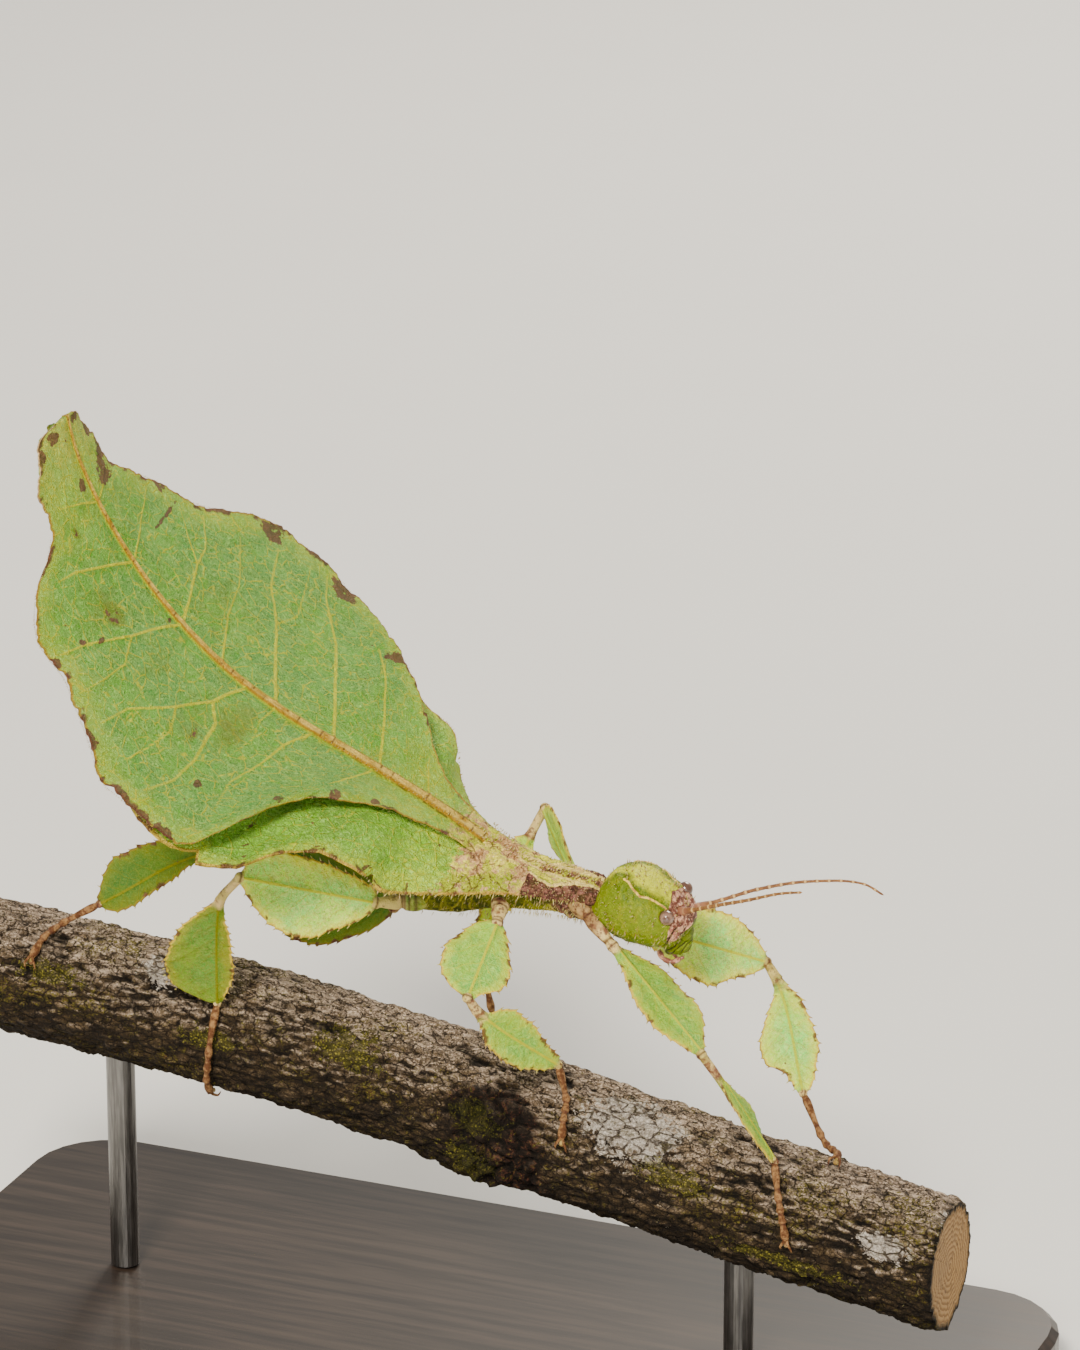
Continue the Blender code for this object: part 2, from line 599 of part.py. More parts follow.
def wing_stations(roots):
    """Rows of the wing: three close rows at each vein and plain ones between."""
    rows = [(WING_ROOT + HALF_GAP, 0.0), (WING_ROOT + 2.0, 0.0)]
    for index, root in enumerate(roots):
        rows += [(root - VEIN_HALF, 0.0), (root, VEIN_HEIGHT), (root + VEIN_HALF, 0.0)]
        after = roots[index + 1] if index + 1 < len(roots) else LEAF_TIP - 4.0
        rows.append((0.5 * (root + after), 0.0))
    return rows + [(LEAF_TIP - 4.0, 0.0), (LEAF_TIP - 2.0, 0.0), (LEAF_TIP - 0.8, 0.0), (LEAF_TIP, 0.0)]


def wing_ring(s, ridge, side):
    margin = min(s + slant(s), LEAF_TIP)
    half = smooth_value(WING_HALF["right" if side > 0 else "left"], margin)
    foot = min(MIDRIB_HALF, 0.4 * half)
    reach = [HALF_GAP] + [foot + (half - foot) * (index / WING_COLUMNS) for index in range(WING_COLUMNS + 1)]
    upper = []
    lower = []
    for index, across in enumerate(reach):
        share = across / half
        place = s + (margin - s) * share
        droop = smooth_value(WING_DROOP, place)
        rise = ridge * (1 - 0.5 * share)
        thickness = WING_THICKNESS
        if index == 0:
            rise = MIDRIB_HEIGHT
        if index == len(reach) - 1:
            rise = 0.0
            thickness = WING_RIM
        upper.append(leaf_point(place, side * across, droop, -rise))
        lower.append(leaf_point(place, side * across, droop, thickness))
    return upper + lower[::-1]


def make_wings():
    for name, side in (("right", 1.0), ("left", -1.0)):
        rows = wing_stations(VEIN_ROOTS[name])
        finish(loft("forewing_" + name, [wing_ring(s, ridge, side) for s, ridge in rows]), "leaf_green")


# Head
def head_ring(x, top, bottom, half, grow=0.0):
    ring = []
    middle = 0.5 * (top + bottom)
    height = 0.5 * (top - bottom) + grow
    for side in range(HEAD_SIDES):
        angle = 2 * math.pi * (side + 0.5) / HEAD_SIDES
        ring.append(body_point(x, middle + height * math.sin(angle), (half + grow) * math.cos(angle)))
    return ring


def head_solid(name, grow=0.0):
    rings = [head_ring(*section, grow) for section in HEAD_SECTIONS]
    rings[-1] = [point + grow * ALONG for point in rings[-1]]
    centre, normal = back_frame(NECK)
    forward = unit(np.cross(normal, RIGHTWARD))
    forward = forward * math.copysign(1.0, forward[0])
    rings[0] = slide_to_plane(rings[0], ALONG, (centre + forward * (GAP - grow), forward))
    return loft(name, rings)


def ball(name, centre, size, sides=16):
    """Ellipsoid with its half sizes along the body, upward and sideways, and tiny flats for poles."""
    rows = sides // 2
    rings = []
    for row in range(rows + 1):
        turn = math.pi * min(max(row, POLE_INSET), rows - POLE_INSET) / rows
        ring = []
        for side in range(sides):
            angle = 2 * math.pi * side / sides
            ring.append(centre + size[0] * math.cos(turn) * ALONG
                        + size[1] * math.sin(turn) * math.sin(angle) * UPWARD
                        + size[2] * math.sin(turn) * math.cos(angle) * RIGHTWARD)
        rings.append(ring)
    return loft(name, rings)


def tube(name, line, radii, sides=8, start_plane=None, end_plane=None):
    """Round tube along a line of points, with its own radius at each."""
    line = [np.array(point, float) for point in line]
    rings = []
    side_way = None
    for index, point in enumerate(line):
        ahead = unit(line[min(index + 1, len(line) - 1)] - line[max(index - 1, 0)])
        guess = np.array([0.0, 0.0, 1.0]) if side_way is None else side_way
        if side_way is None and abs(ahead[2]) > 0.9:
            guess = ALONG
        side_way = unit(guess - ahead * np.dot(guess, ahead))
        other = np.cross(ahead, side_way)
        ring = []
        for side in range(sides):
            angle = 2 * math.pi * side / sides
            ring.append(point + radii[index] * (math.cos(angle) * side_way + math.sin(angle) * other))
        rings.append(ring)
    if start_plane:
        rings[0] = slide_to_plane(rings[0], unit(line[1] - line[0]), start_plane)
    if end_plane:
        rings[-1] = slide_to_plane(rings[-1], unit(line[-1] - line[-2]), end_plane)
    return loft(name, rings)


def make_head():
    head = head_solid("head")
    sockets = []
    for name, side in (("right", 1.0), ("left", -1.0)):
        along, up, right = EYE_PLACE
        centre = body_point(along, up, side * right)
        sockets.append(ball("cutter", centre, [EYE_RADIUS + GAP] * 3))
        finish(ball("eye_" + name, centre, [EYE_RADIUS] * 3), "eye_brown")
    combine(head, sockets, "DIFFERENCE")
    finish(head, "head_olive")

    mouth = ball("mouthparts", body_point(*MOUTH_PLACE, 0.0), MOUTH_SIZE)
    palps = []
    for side in (1.0, -1.0):
        line = smooth_line([body_point(23.8, 0.0, side * 1.0), body_point(24.4, -0.7, side * 1.6),
                            body_point(25.3, -1.1, side * 1.4), body_point(26.0, -0.9, side * 0.9)], even(7))
        palps.append(tube("palp", line, [PALP_RADIUS] * 7, 6))
    combine(mouth, palps, "UNION")
    combine(mouth, [head_solid("cutter", GAP)], "DIFFERENCE")
    finish(mouth, "head_olive")

    for name, points in ANTENNA_LINES.items():
        count = 17
        line = smooth_line(points, even(count))
        radii = []
        for index in range(count):
            taper = ANTENNA_RADIUS * (1.0 - 0.25 * index / (count - 1))
            radii.append(SCAPE_RADIUS if index < 2 else taper)
        feeler = tube("antenna_" + name, line, radii, 7)
        combine(feeler, [head_solid("cutter", CUT_GAP)], "DIFFERENCE")
        finish(feeler, "feeler_brown")


# Legs
def leg_section(upper, lower, rib):
    """Twelve points round a leg segment: a round stalk, or a rib with a thin lobe on each side."""
    quarter = []
    for width in (upper, lower):
        share = min(max((width - rib) / rib, 0.0), 1.0)
        share = share * share * (3 - 2 * share)
        stalk = [(rib * math.cos(math.radians(angle)), rib * math.sin(math.radians(angle)))
                 for angle in (15, 45, 75)]
        blade = [(max(width, rib), LOBE_HALF_RIM), (1.15 * rib, LOBE_HALF_THICKNESS), (0.5 * rib, 0.9 * rib)]
        quarter.append([np.array(a) * (1 - share) + np.array(b) * share for a, b in zip(stalk, blade)])
    first, second = quarter
    top = [(x, y) for x, y in first] + [(-x, y) for x, y in second[::-1]]
    return top + [(x, -y) for x, y in top[::-1]]


def leg_segment(name, line, widths, rib, face, start_plane, end_plane):
    rings = []
    for index, point in enumerate(line):
        ahead = unit(line[min(index + 1, len(line) - 1)] - line[max(index - 1, 0)])
        across = unit(np.cross(face, ahead))
        outward = np.cross(ahead, across)
        upper, lower = widths[index]
        section = leg_section(upper, lower, rib[index])
        rings.append([point + x * across + y * outward for x, y in section])
    rings[0] = slide_to_plane(rings[0], unit(line[1] - line[0]), start_plane)
    rings[-1] = slide_to_plane(rings[-1], unit(line[-1] - line[-2]), end_plane)
    return loft(name, rings)


def mitre(before, joint, after, side):
    """Plane halving the bend at a joint, set back by half a gap towards one side."""
    normal = unit(unit(joint - before) + unit(after - joint))
    return joint + side * HALF_GAP * normal, normal


def stations(length):
    """Shares of a segment's length at its rings, with long first and last steps for the mitres."""
    first = SEGMENT_END_STEP / length
    inner = [first + (1 - 2 * first) * share for share in even(SEGMENT_RINGS - 2)]
    return [0.0] + inner + [1.0]


def lobe_widths(lobes, scales, shares):
    """Widths of the two lobes at each ring, toothed by moving every other ring in and out."""
    widths = []
    for index, share in enumerate(shares):
        tooth = LOBE_TOOTH * (-1) ** index
        pair = [scale * smooth_value(table, share) for table, scale in zip(lobes, scales)]
        widths.append(tuple(width + tooth * (width > 1.2) for width in pair))
    return widths


def claw(foot, turn):
    """One hooked claw at the end of a foot, turned to one side along the branch."""
    (_, before), (x, degrees) = foot[-2:]
    onward = math.copysign(1.0, degrees - before)
    line = [on_branch(x + share * turn * CLAW_SPREAD, degrees + past * onward, height)
            for share, past, height in CLAW_PATH]
    return tube("claw", line, [CLAW_RADIUS * taper for taper in CLAW_TAPER], CLAW_SIDES)


def make_leg(name):
    leg = LEGS[name]
    kind, side = name.split("_")
    hip, knuckle, knee, bend, ankle = [np.array(leg[joint]) for joint in JOINTS]
    foot = [on_branch(x, degrees, TARSUS_RADIUS + GAP + FOOT_CLEARANCE) for x, degrees in leg["foot"]]

    femur_shares = stations(np.linalg.norm(knee - knuckle))
    tibia_shares = stations(np.linalg.norm(bend - knee) + np.linalg.norm(ankle - bend))
    femur_line = smooth_line([knuckle, knee], femur_shares)
    tibia_line = smooth_line([knee, bend, ankle], tibia_shares)
    tarsus_line = smooth_line([ankle, *foot], even(TARSUS_RINGS))

    root = hip + COXA_ROOT * unit(hip - knuckle)
    coxa_line = smooth_line([root, hip, knuckle], even(6))
    radii = [COXA_RADIUS] * 3 + [0.9 * COXA_RADIUS, KNUCKLE_RADIUS * 1.15, KNUCKLE_RADIUS]
    coxa = tube(f"{kind}_coxa_{side}", coxa_line, radii, 12,
                end_plane=mitre(hip, knuckle, femur_line[1], -1))
    combine(coxa, [thorax_cutter()], "DIFFERENCE")
    combine(coxa, [head_solid("cutter", CUT_GAP)], "DIFFERENCE")
    finish(coxa, "joint_tan")

    ribs = list(np.linspace(FEMUR_RIB, KNEE_RADIUS, SEGMENT_RINGS))
    widths = lobe_widths(FEMUR_LOBES[kind], leg["femur_scale"], femur_shares)
    femur = leg_segment(f"{kind}_femur_{side}", femur_line, widths, ribs, np.array(leg["femur_face"]),
                        mitre(hip, knuckle, femur_line[1], 1), mitre(femur_line[-2], knee, tibia_line[1], -1))
    finish(femur, "limb_green")

    ribs = list(np.linspace(KNEE_RADIUS, ANKLE_RADIUS, SEGMENT_RINGS))
    widths = lobe_widths(TIBIA_LOBES[kind], leg["tibia_scale"], tibia_shares)
    tibia = leg_segment(f"{kind}_tibia_{side}", tibia_line, widths, ribs, np.array(leg["tibia_face"]),
                        mitre(femur_line[-2], knee, tibia_line[1], 1),
                        mitre(tibia_line[-2], ankle, tarsus_line[1], -1))
    finish(tibia, "limb_green")

    radii = [TARSUS_RADIUS * (1.0 if index % 3 else 0.85) for index in range(TARSUS_RINGS)]
    tarsus = tube(f"{kind}_tarsus_{side}", tarsus_line, radii, 8,
                  start_plane=mitre(tibia_line[-2], ankle, tarsus_line[1], 1))
    combine(tarsus, [claw(leg["foot"], turn) for turn in (-1, 1)], "UNION")
    finish(tarsus, "joint_tan")


def main():
    clear_scene()
    finish(branch_solid("perch_branch", 0.0, BARK_ROUGHNESS), "bark")
    make_stand()
    make_trunk()
    make_wings()
    make_head()
    for name in LEGS:
        make_leg(name)


main()
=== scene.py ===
"""Leaf insect on a cut branch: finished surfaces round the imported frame. Shapes are in millimetres."""
import math
import random

import bpy
import numpy as np
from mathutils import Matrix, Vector, noise


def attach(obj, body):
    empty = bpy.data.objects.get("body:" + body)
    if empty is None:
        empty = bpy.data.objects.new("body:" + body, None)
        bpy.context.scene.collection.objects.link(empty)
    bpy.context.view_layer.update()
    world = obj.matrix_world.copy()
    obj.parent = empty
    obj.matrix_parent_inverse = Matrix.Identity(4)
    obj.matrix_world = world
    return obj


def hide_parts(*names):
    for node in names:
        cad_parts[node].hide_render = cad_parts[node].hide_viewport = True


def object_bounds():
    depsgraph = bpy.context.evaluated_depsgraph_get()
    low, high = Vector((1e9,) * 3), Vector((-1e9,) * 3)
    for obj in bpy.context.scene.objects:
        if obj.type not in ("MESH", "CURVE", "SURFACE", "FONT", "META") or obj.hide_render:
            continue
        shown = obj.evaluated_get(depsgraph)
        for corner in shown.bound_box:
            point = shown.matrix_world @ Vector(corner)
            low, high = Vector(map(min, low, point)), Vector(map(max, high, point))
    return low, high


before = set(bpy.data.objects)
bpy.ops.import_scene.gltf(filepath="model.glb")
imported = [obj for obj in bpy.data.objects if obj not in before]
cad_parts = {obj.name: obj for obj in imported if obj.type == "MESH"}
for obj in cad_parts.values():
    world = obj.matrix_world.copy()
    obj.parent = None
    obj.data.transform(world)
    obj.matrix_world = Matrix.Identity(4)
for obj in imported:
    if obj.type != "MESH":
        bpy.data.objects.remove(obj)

CAD_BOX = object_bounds()
MM = 0.001
MERGE_GAP = 0.002

# Body frame, rolled towards the viewer about the long axis
BODY_HEIGHT = 52.0
ROLL = math.radians(12.0)
ALONG = np.array([1.0, 0.0, 0.0])
UPWARD = np.array([0.0, -math.sin(ROLL), math.cos(ROLL)])
RIGHTWARD = np.array([0.0, -math.cos(ROLL), -math.sin(ROLL)])

# Line of the back and midrib, from the neck to the tip of the leaf
BACK_LINE = [(16.6, 5.8), (14.2, 6.2), (11.1, 6.7), (8.6, 7.5), (5.1, 9.1), (0.4, 12.0), (-4.8, 14.9),
             (-10.2, 17.7), (-15.4, 20.5), (-20.3, 23.9), (-24.6, 28.1), (-28.3, 32.9), (-31.3, 38.1),
             (-33.6, 43.6), (-34.8, 48.0), (-35.2, 51.5)]
BACK_ZERO = 2
NECK = -5.3
WING_START = 5.4
THORAX_BLEND = (6.9, 7.9)
RIDGE_LINE = [(-5.8, 0.85), (-2.5, 0.85), (-1.0, 0.75), (1.0, 0.55), (3.0, 0.35)]
FLANK_LINE = [(-5.8, 0.75), (-4.2, 1.1), (-2.6, 1.7), (-1.3, 2.2), (0.0, 1.85), (1.0, 1.45), (1.5, 1.3)]
SPINDLE = [(1.4, 0.95), (-0.1, 1.35), (-1.5, 2.0)]
ABDOMEN_START = 13.2
ABDOMEN_END = 66.8
LEAF_TIP = 68.0
TIP_ROOM = 0.01

# Trunk: half width of the side flange, its droop, keel depth and keel half width
FLANGE_HALF = [(-5.6, 2.6), (-2.2, 3.3), (0.0, 3.6), (2.0, 4.3), (6.0, 6.5), (10.0, 9.4), (12.0, 11.0),
               (14.0, 12.0), (16.8, 13.4), (18.6, 13.5), (20.2, 14.6), (22.0, 16.3), (24.3, 19.6),
               (26.0, 20.9), (28.5, 22.2)]
FLANGE_DROOP = [(-5.6, 38.0), (2.0, 36.0), (6.0, 33.0), (10.0, 26.0), (12.5, 19.0), (14.2, 8.0),
                (16.0, 2.0),
                (18.5, 1.0), (23.0, 2.5), (25.0, 6.0), (28.0, 6.0)]
DROOP_START = 1.5
FLANGE_INSET = 0.9
KEEL_DEPTH = [(-5.6, 4.2), (-2.0, 4.3), (0.0, 4.9), (3.0, 7.0), (6.0, 9.6), (9.0, 11.9), (10.5, 11.9),
              (13.0, 9.3), (15.0, 7.7), (18.0, 6.2), (26.0, 4.3), (36.0, 3.1), (50.0, 2.4), (67.0, 1.9)]
KEEL_HALF = [(-5.6, 2.1), (0.0, 2.4), (6.0, 2.6), (10.0, 2.8), (15.0, 2.8), (26.0, 4.2), (40.0, 4.6),
             (54.0, 2.6), (67.0, 0.5)]
PLATE_THICKNESS = 1.0
PLATE_TOP = 0.95

# Forewings
WING_HALF = {
    1: [(6.0, 2.2), (10.0, 2.9), (13.5, 4.4), (16.7, 5.9), (18.6, 7.2), (20.6, 9.1), (22.2, 11.0),
        (23.9, 13.1), (25.2, 15.3), (26.4, 17.8), (27.8, 20.2), (29.6, 22.6), (31.5, 23.7), (38.8, 23.5),
        (42.3, 21.4), (46.0, 19.2), (49.0, 17.3), (52.3, 16.8), (54.0, 15.8), (56.0, 13.6), (57.6, 10.2),
        (59.5, 7.9), (63.0, 7.1), (65.6, 6.0), (67.2, 5.2), (67.8, 4.4), (68.0, 2.6)],
    -1: [(6.0, 2.2), (10.0, 2.8), (14.0, 4.6), (17.8, 8.6), (21.3, 12.4), (24.2, 15.0), (26.8, 18.3),
         (29.5, 22.0), (31.8, 23.1), (38.7, 24.2), (41.1, 23.8), (44.8, 21.2), (47.0, 18.3), (51.4, 14.2),
         (53.7, 12.7), (55.9, 10.4), (58.2, 7.7), (60.4, 5.7), (63.2, 4.9), (65.9, 3.4), (67.3, 2.2),
         (68.0, 0.9)],
}
WING_DROOP = [(6.0, 7.0), (10.0, 2.0), (14.0, -6.0), (18.0, -10.0), (22.0, -10.0), (26.0, -4.0),
              (30.0, 2.5),
              (34.0, 3.0), (42.0, 2.5), (50.0, 7.0), (58.0, 11.0), (66.0, 17.0), (68.0, 18.0)]
CAMBER = 0.08
CAMBER_REACH = 24.0
RIPPLE_HEIGHT = 0.3
RIPPLE_LENGTH = 11.0
VEIN_SLANT = 10.0
VEIN_SLANT_SKEW = 0.6
WING_ROWS = 400
WING_COLUMNS = 104
WING_UNDER_COLUMNS = 26
MIDRIB_HALF = [(6.0, 0.8), (30.0, 0.62), (50.0, 0.42), (66.0, 0.22)]
MIDRIB_HEIGHT = 0.42

# Main veins on each side: places along and across the leaf, and the width of the ridge
VEINS = {
    1: [([(51.5, 0.5), (53.0, 3.6), (54.9, 7.9), (55.4, 10.5)], 0.17),
        ([(43.6, 0.5), (45.1, 3.4), (46.5, 7.0), (49.2, 12.3), (50.3, 15.8)], 0.17),
        ([(34.5, 0.5), (35.5, 3.0), (36.2, 5.2), (38.7, 9.4), (42.2, 14.5), (43.2, 18.2)], 0.2),
        ([(36.2, 5.2), (34.6, 7.6), (34.4, 10.0), (34.0, 13.4), (34.4, 17.4), (36.0, 21.0)], 0.2),
        ([(26.5, 0.5), (28.0, 4.4), (28.6, 8.4), (30.0, 13.0), (29.6, 17.4)], 0.16),
        ([(19.5, 0.5), (20.6, 3.8), (22.0, 7.6)], 0.13),
        ([(58.5, 0.4), (59.6, 2.6), (60.6, 5.4)], 0.13),
        ([(38.7, 9.4), (37.6, 12.6), (38.4, 16.8), (39.6, 20.6)], 0.12),
        ([(46.5, 7.0), (45.2, 10.4), (45.8, 14.2), (46.6, 17.6)], 0.11),
        ([(31.0, 0.5), (31.4, 3.4), (30.8, 6.2), (31.6, 9.8)], 0.1)],
    -1: [([(43.5, 0.5), (44.9, 4.4), (46.1, 7.9), (46.4, 10.6), (48.6, 14.6)], 0.17),
         ([(31.3, 0.5), (33.8, 5.4), (36.1, 10.2), (39.0, 14.7), (40.6, 20.2)], 0.2),
         ([(24.5, 0.5), (27.6, 7.2), (30.2, 13.6), (33.8, 18.9), (35.2, 22.4)], 0.18),
         ([(19.2, 0.5), (21.4, 5.6), (23.8, 10.6), (26.2, 14.6)], 0.15),
         ([(38.0, 0.5), (40.4, 5.8), (41.4, 10.6), (44.4, 16.4)], 0.13),
         ([(51.5, 0.5), (53.4, 4.8), (55.0, 9.4)], 0.14),
         ([(58.5, 0.4), (59.8, 2.6), (60.6, 4.6)], 0.12),
         ([(13.5, 0.5), (15.0, 3.2), (15.8, 5.0)], 0.12),
         ([(36.1, 10.2), (34.9, 13.2), (36.0, 17.8), (37.0, 21.6)], 0.11),
         ([(46.1, 7.9), (48.2, 9.6), (51.0, 12.4)], 0.11)],
}
VEIN_HEIGHT = 0.16
# Cross veinlets beside each vein: their spacing, half width, reach and strength
LADDER_STEP = 1.7
LADDER_HALF = 0.09
LADDER_REACH = 3.4
LADDER_STRENGTH = 0.45

# Blotches of each kind: side, place along and across the leaf, and half sizes
BLOTCHES = {
    "brown": [(-1, 60.2, 3.2, 1.5, 2.0), (-1, 61.6, 4.2, 1.0, 1.0), (1, 60.9, 1.3, 0.9, 0.8),
              (-1, 51.6, 9.2, 0.26, 3.4), (-1, 42.1, 21.6, 1.6, 1.7), (-1, 32.8, 22.2, 1.8, 1.6),
              (-1, 24.0, 13.9, 1.5, 0.9), (1, 50.0, 17.0, 0.7, 0.8), (1, 43.2, 20.8, 1.5, 1.0),
              (1, 37.6, 23.3, 1.6, 1.0), (1, 34.7, 23.8, 1.5, 1.3), (1, 32.2, 23.6, 1.4, 1.2),
              (1, 20.9, 8.6, 0.7, 1.0), (1, 32.4, 15.7, 0.45, 0.6), (1, 49.6, 12.5, 0.4, 0.5),
              (1, 48.4, 10.6, 0.3, 0.6), (1, 44.6, 1.0, 0.3, 0.5), (1, 67.0, 3.0, 0.8, 1.2),
              (-1, 67.2, 1.2, 0.7, 0.8), (-1, 64.8, 3.4, 1.0, 0.5), (1, 66.0, 5.2, 0.8, 0.6),
              (-1, 53.9, 11.9, 1.0, 0.9), (-1, 61.6, 4.9, 0.8, 0.6), (1, 25.0, 13.6, 0.5, 0.7),
              (1, 17.4, 5.6, 0.5, 0.6)],
    "speck": [(1, 49.3, 6.9, 1.1, 1.0), (1, 35.6, 10.8, 0.3, 0.7), (1, 57.6, 5.0, 0.5, 0.35)],
    "haze": [(1, 43.0, 6.4, 1.9, 3.4), (-1, 42.0, 6.2, 2.6, 4.6), (1, 36.6, 9.0, 2.6, 5.0),
             (1, 50.6, 7.4, 2.2, 3.0)],
    "olive": [(1, 33.0, 6.0, 1.9, 4.4)],
}
# How each kind marks the leaf: the mask, its strength, and the distances where it ends and where it is full
BLOTCH_KINDS = {"brown": [("brown", 1.0, 1.45, 0.4)], "olive": [("olive", 1.0, 1.45, 0.4)],
                "haze": [("olive", 0.62, 1.6, 0.1)],
                "speck": [("brown", 0.56, 1.6, 0.6), ("olive", 1.2, 1.9, 0.8)]}

# Head: distance along the body, top, bottom and half width of each section
HEAD_SECTIONS = [(16.7, 5.1, 2.3, 2.1), (17.6, 6.7, 1.5, 2.9), (19.0, 7.9, 0.8, 3.6),
                 (20.6, 8.3, 0.3, 4.0),
                 (22.2, 8.1, 0.25, 4.1), (23.6, 7.4, 0.45, 3.9), (24.8, 6.4, 0.8, 3.3),
                 (25.7, 5.3, 1.6, 2.4),
                 (26.3, 4.3, 2.5, 1.3)]
HEAD_ROWS = 150
BROW_FALL = 0.6
HEAD_SIDES = 168
HEAD_RIDGE = [(20.1, 66.0), (20.7, 62.0), (21.3, 54.0), (22.1, 48.0), (22.8, 51.0), (23.5, 53.0),
              (24.3, 52.0),
              (25.0, 47.0)]
CHEEK_LINES = [[(25.6, 16.0), (25.3, 4.0), (25.0, -12.0), (24.5, -36.0), (23.6, -52.0), (22.6, -60.0)],
               [(26.2, -8.0), (25.8, -26.0), (25.2, -44.0)], [(26.2, -34.0), (25.8, -50.0), (25.2, -62.0)],
               [(24.4, -36.0), (24.9, -46.0), (24.7, -58.0)]]
FLUSH_LINE = [(25.1, 14.0), (25.5, -4.0), (25.6, -20.0)]
EYE_RADIUS = 0.75
EYE_PLACE = (24.7, 4.85, 2.6)
ANTENNA_LINES = {
    "right": [(25.2, -1.7, 56.2), (27.3, -2.9, 57.2), (30.1, -4.3, 58.6), (34.0, -6.3, 60.5),
              (38.1, -8.4, 62.6), (40.8, -9.9, 63.7)],
    "left": [(25.4, -0.1, 55.9), (28.2, 2.3, 56.4), (31.0, 4.8, 57.0), (33.9, 7.3, 57.2),
             (37.4, 10.1, 56.9), (39.6, 11.7, 56.3), (41.4, 12.7, 55.0)],
}
ANTENNA_JOINT = 1.25
ANTENNA_RADII = [(0.0, 0.44), (0.9, 0.46), (1.2, 0.29), (1.5, 0.33), (2.1, 0.30), (2.5, 0.20), (9.0, 0.17),
                 (19.0, 0.11)]

# Brown cracks by the notch of the near side lobe: places along and across
LOBE_CRACKS = [[(15.3, 13.4), (14.7, 12.0), (14.4, 11.0)], [(14.4, 11.0), (13.6, 11.3), (12.4, 11.0)],
               [(10.4, 8.6), (9.8, 9.3)], [(19.6, 13.6), (19.0, 12.6)]]

# Legs: joints, the way that the lobes face and their scales, and the foot as places on the bark
LEG_COLUMNS = ("hip", "knuckle", "knee", "bend", "ankle", "foot", "femur_face", "tibia_face", "femur_scale",
               "tibia_scale")
LEGS = {
    "hind_right": (
        (-3.1, -3.1, 53.5), (-5.7, -4.5, 53.5), (-16.9, -12.2, 57.4), (-20.3, -9.8, 53.0),
        (-23.0, -5.0, 40.2),
        [(-23.4, 4.0), (-24.0, -26.0), (-24.5, -50.0)], (-0.4, 0.8, -0.3), (-0.2, 0.9, 0.3), (1.0, 1.0),
         (1.0, 1.0)),
    "hind_left": (
        (-2.9, 2.3, 53.2), (-7.0, 3.0, 50.0), (-22.5, 4.1, 52.9), (-26.6, 3.6, 52.7), (-38.5, 0.2, 46.6),
        [(-42.3, 76.0), (-43.3, 58.0), (-43.9, 38.0)], (-0.1, 0.9, -0.3), (0.2, -0.9, 0.3), (1.0, 1.4),
         (0.32, 2.1)),
    "middle_right": (
        (7.0, -3.0, 54.5), (7.5, -5.0, 53.6), (7.4, -12.4, 48.5), (8.2, -11.0, 46.4), (13.1, -2.8, 38.4),
        [(14.0, 57.0), (14.4, 40.0), (14.6, 24.0)], (-0.4, 0.5, -0.7), (0.8, -0.6, -0.1), (1.0, 1.0),
         (1.0, 1.0)),
    "middle_left": (
        (9.3, 3.0, 54.3), (11.0, 6.2, 55.5), (5.8, 11.7, 59.4), (4.6, 11.0, 56.6), (1.1, 5.6, 46.5),
        [(4.0, 112.0), (4.6, 104.0), (5.0, 92.0)], (-0.8, -0.6, -0.2), (-0.4, 0.9, -0.3), (1.0, 1.0),
         (1.1, 0.6)),
    "front_right": (
        (16.0, -3.0, 55.2), (19.4, -4.3, 52.7), (29.7, -6.9, 43.9), (31.2, -6.2, 41.4), (35.9, -2.8, 31.8),
        [(37.4, 31.0), (38.0, 18.0), (38.4, 5.0)], (0.6, -0.3, 0.8), (0.9, 0.3, 0.5), (1.0, 0.8),
         (1.0, 0.8)),
    "front_left": (
        (15.6, 2.6, 54.5), (17.8, 4.3, 51.6), (29.3, 12.6, 46.0), (30.9, 11.9, 43.9), (35.8, 5.7, 35.6),
        [(39.6, 108.0), (40.6, 101.0), (41.0, 92.0)], (0.6, -0.7, 0.3), (-0.2, 0.8, -0.6), (1.0, 1.15),
         (1.0, 1.0)),
}
# Brightness of each leg's lobes, the tibia's share of it, and how brown its bare joints are; the brightness
# is painted light and shade, lit and shaded copies of one green, brighter on legs that lie in shade and
# darker on the far hind leg, and the tibia's share is partly its own tint and partly painted shade
EVEN = (1.0, 1.0, 1.0)
LEG_TONES = {"hind_right": (2.1, (0.36, 0.37, 0.26), 0.15), "hind_left": (0.34, EVEN, 0.9),
             "middle_right": (1.15, EVEN, 0.5), "middle_left": (1.45, EVEN, 0.4),
             "front_right": (0.95, EVEN, 0.55), "front_left": (2.4, (0.85, 0.95, 0.8), 0.6)}
COXA_ROOT = 1.7
FEMUR_RIB = 0.6
KNEE_RADIUS = 0.5
ANKLE_RADIUS = 0.42
LOBE_HALF_THICKNESS = 0.2
LOBE_HALF_RIM = 0.08
TARSUS_RADIUS = 0.4
LIMB_ROWS = 110
STALK_ROWS = 64
COXA_RADII = [(0.0, 0.9), (0.12, 0.66), (0.3, 0.76), (0.7, 0.6), (0.85, 0.5)]
JOINT_RADII = [(0.0, 0.12), (0.12, 0.62), (0.3, 0.92), (0.5, 1.0), (0.7, 0.92), (0.88, 0.62), (1.0, 0.12)]
BEAD_ENDS = (0.36, 0.52, 0.66, 0.78)
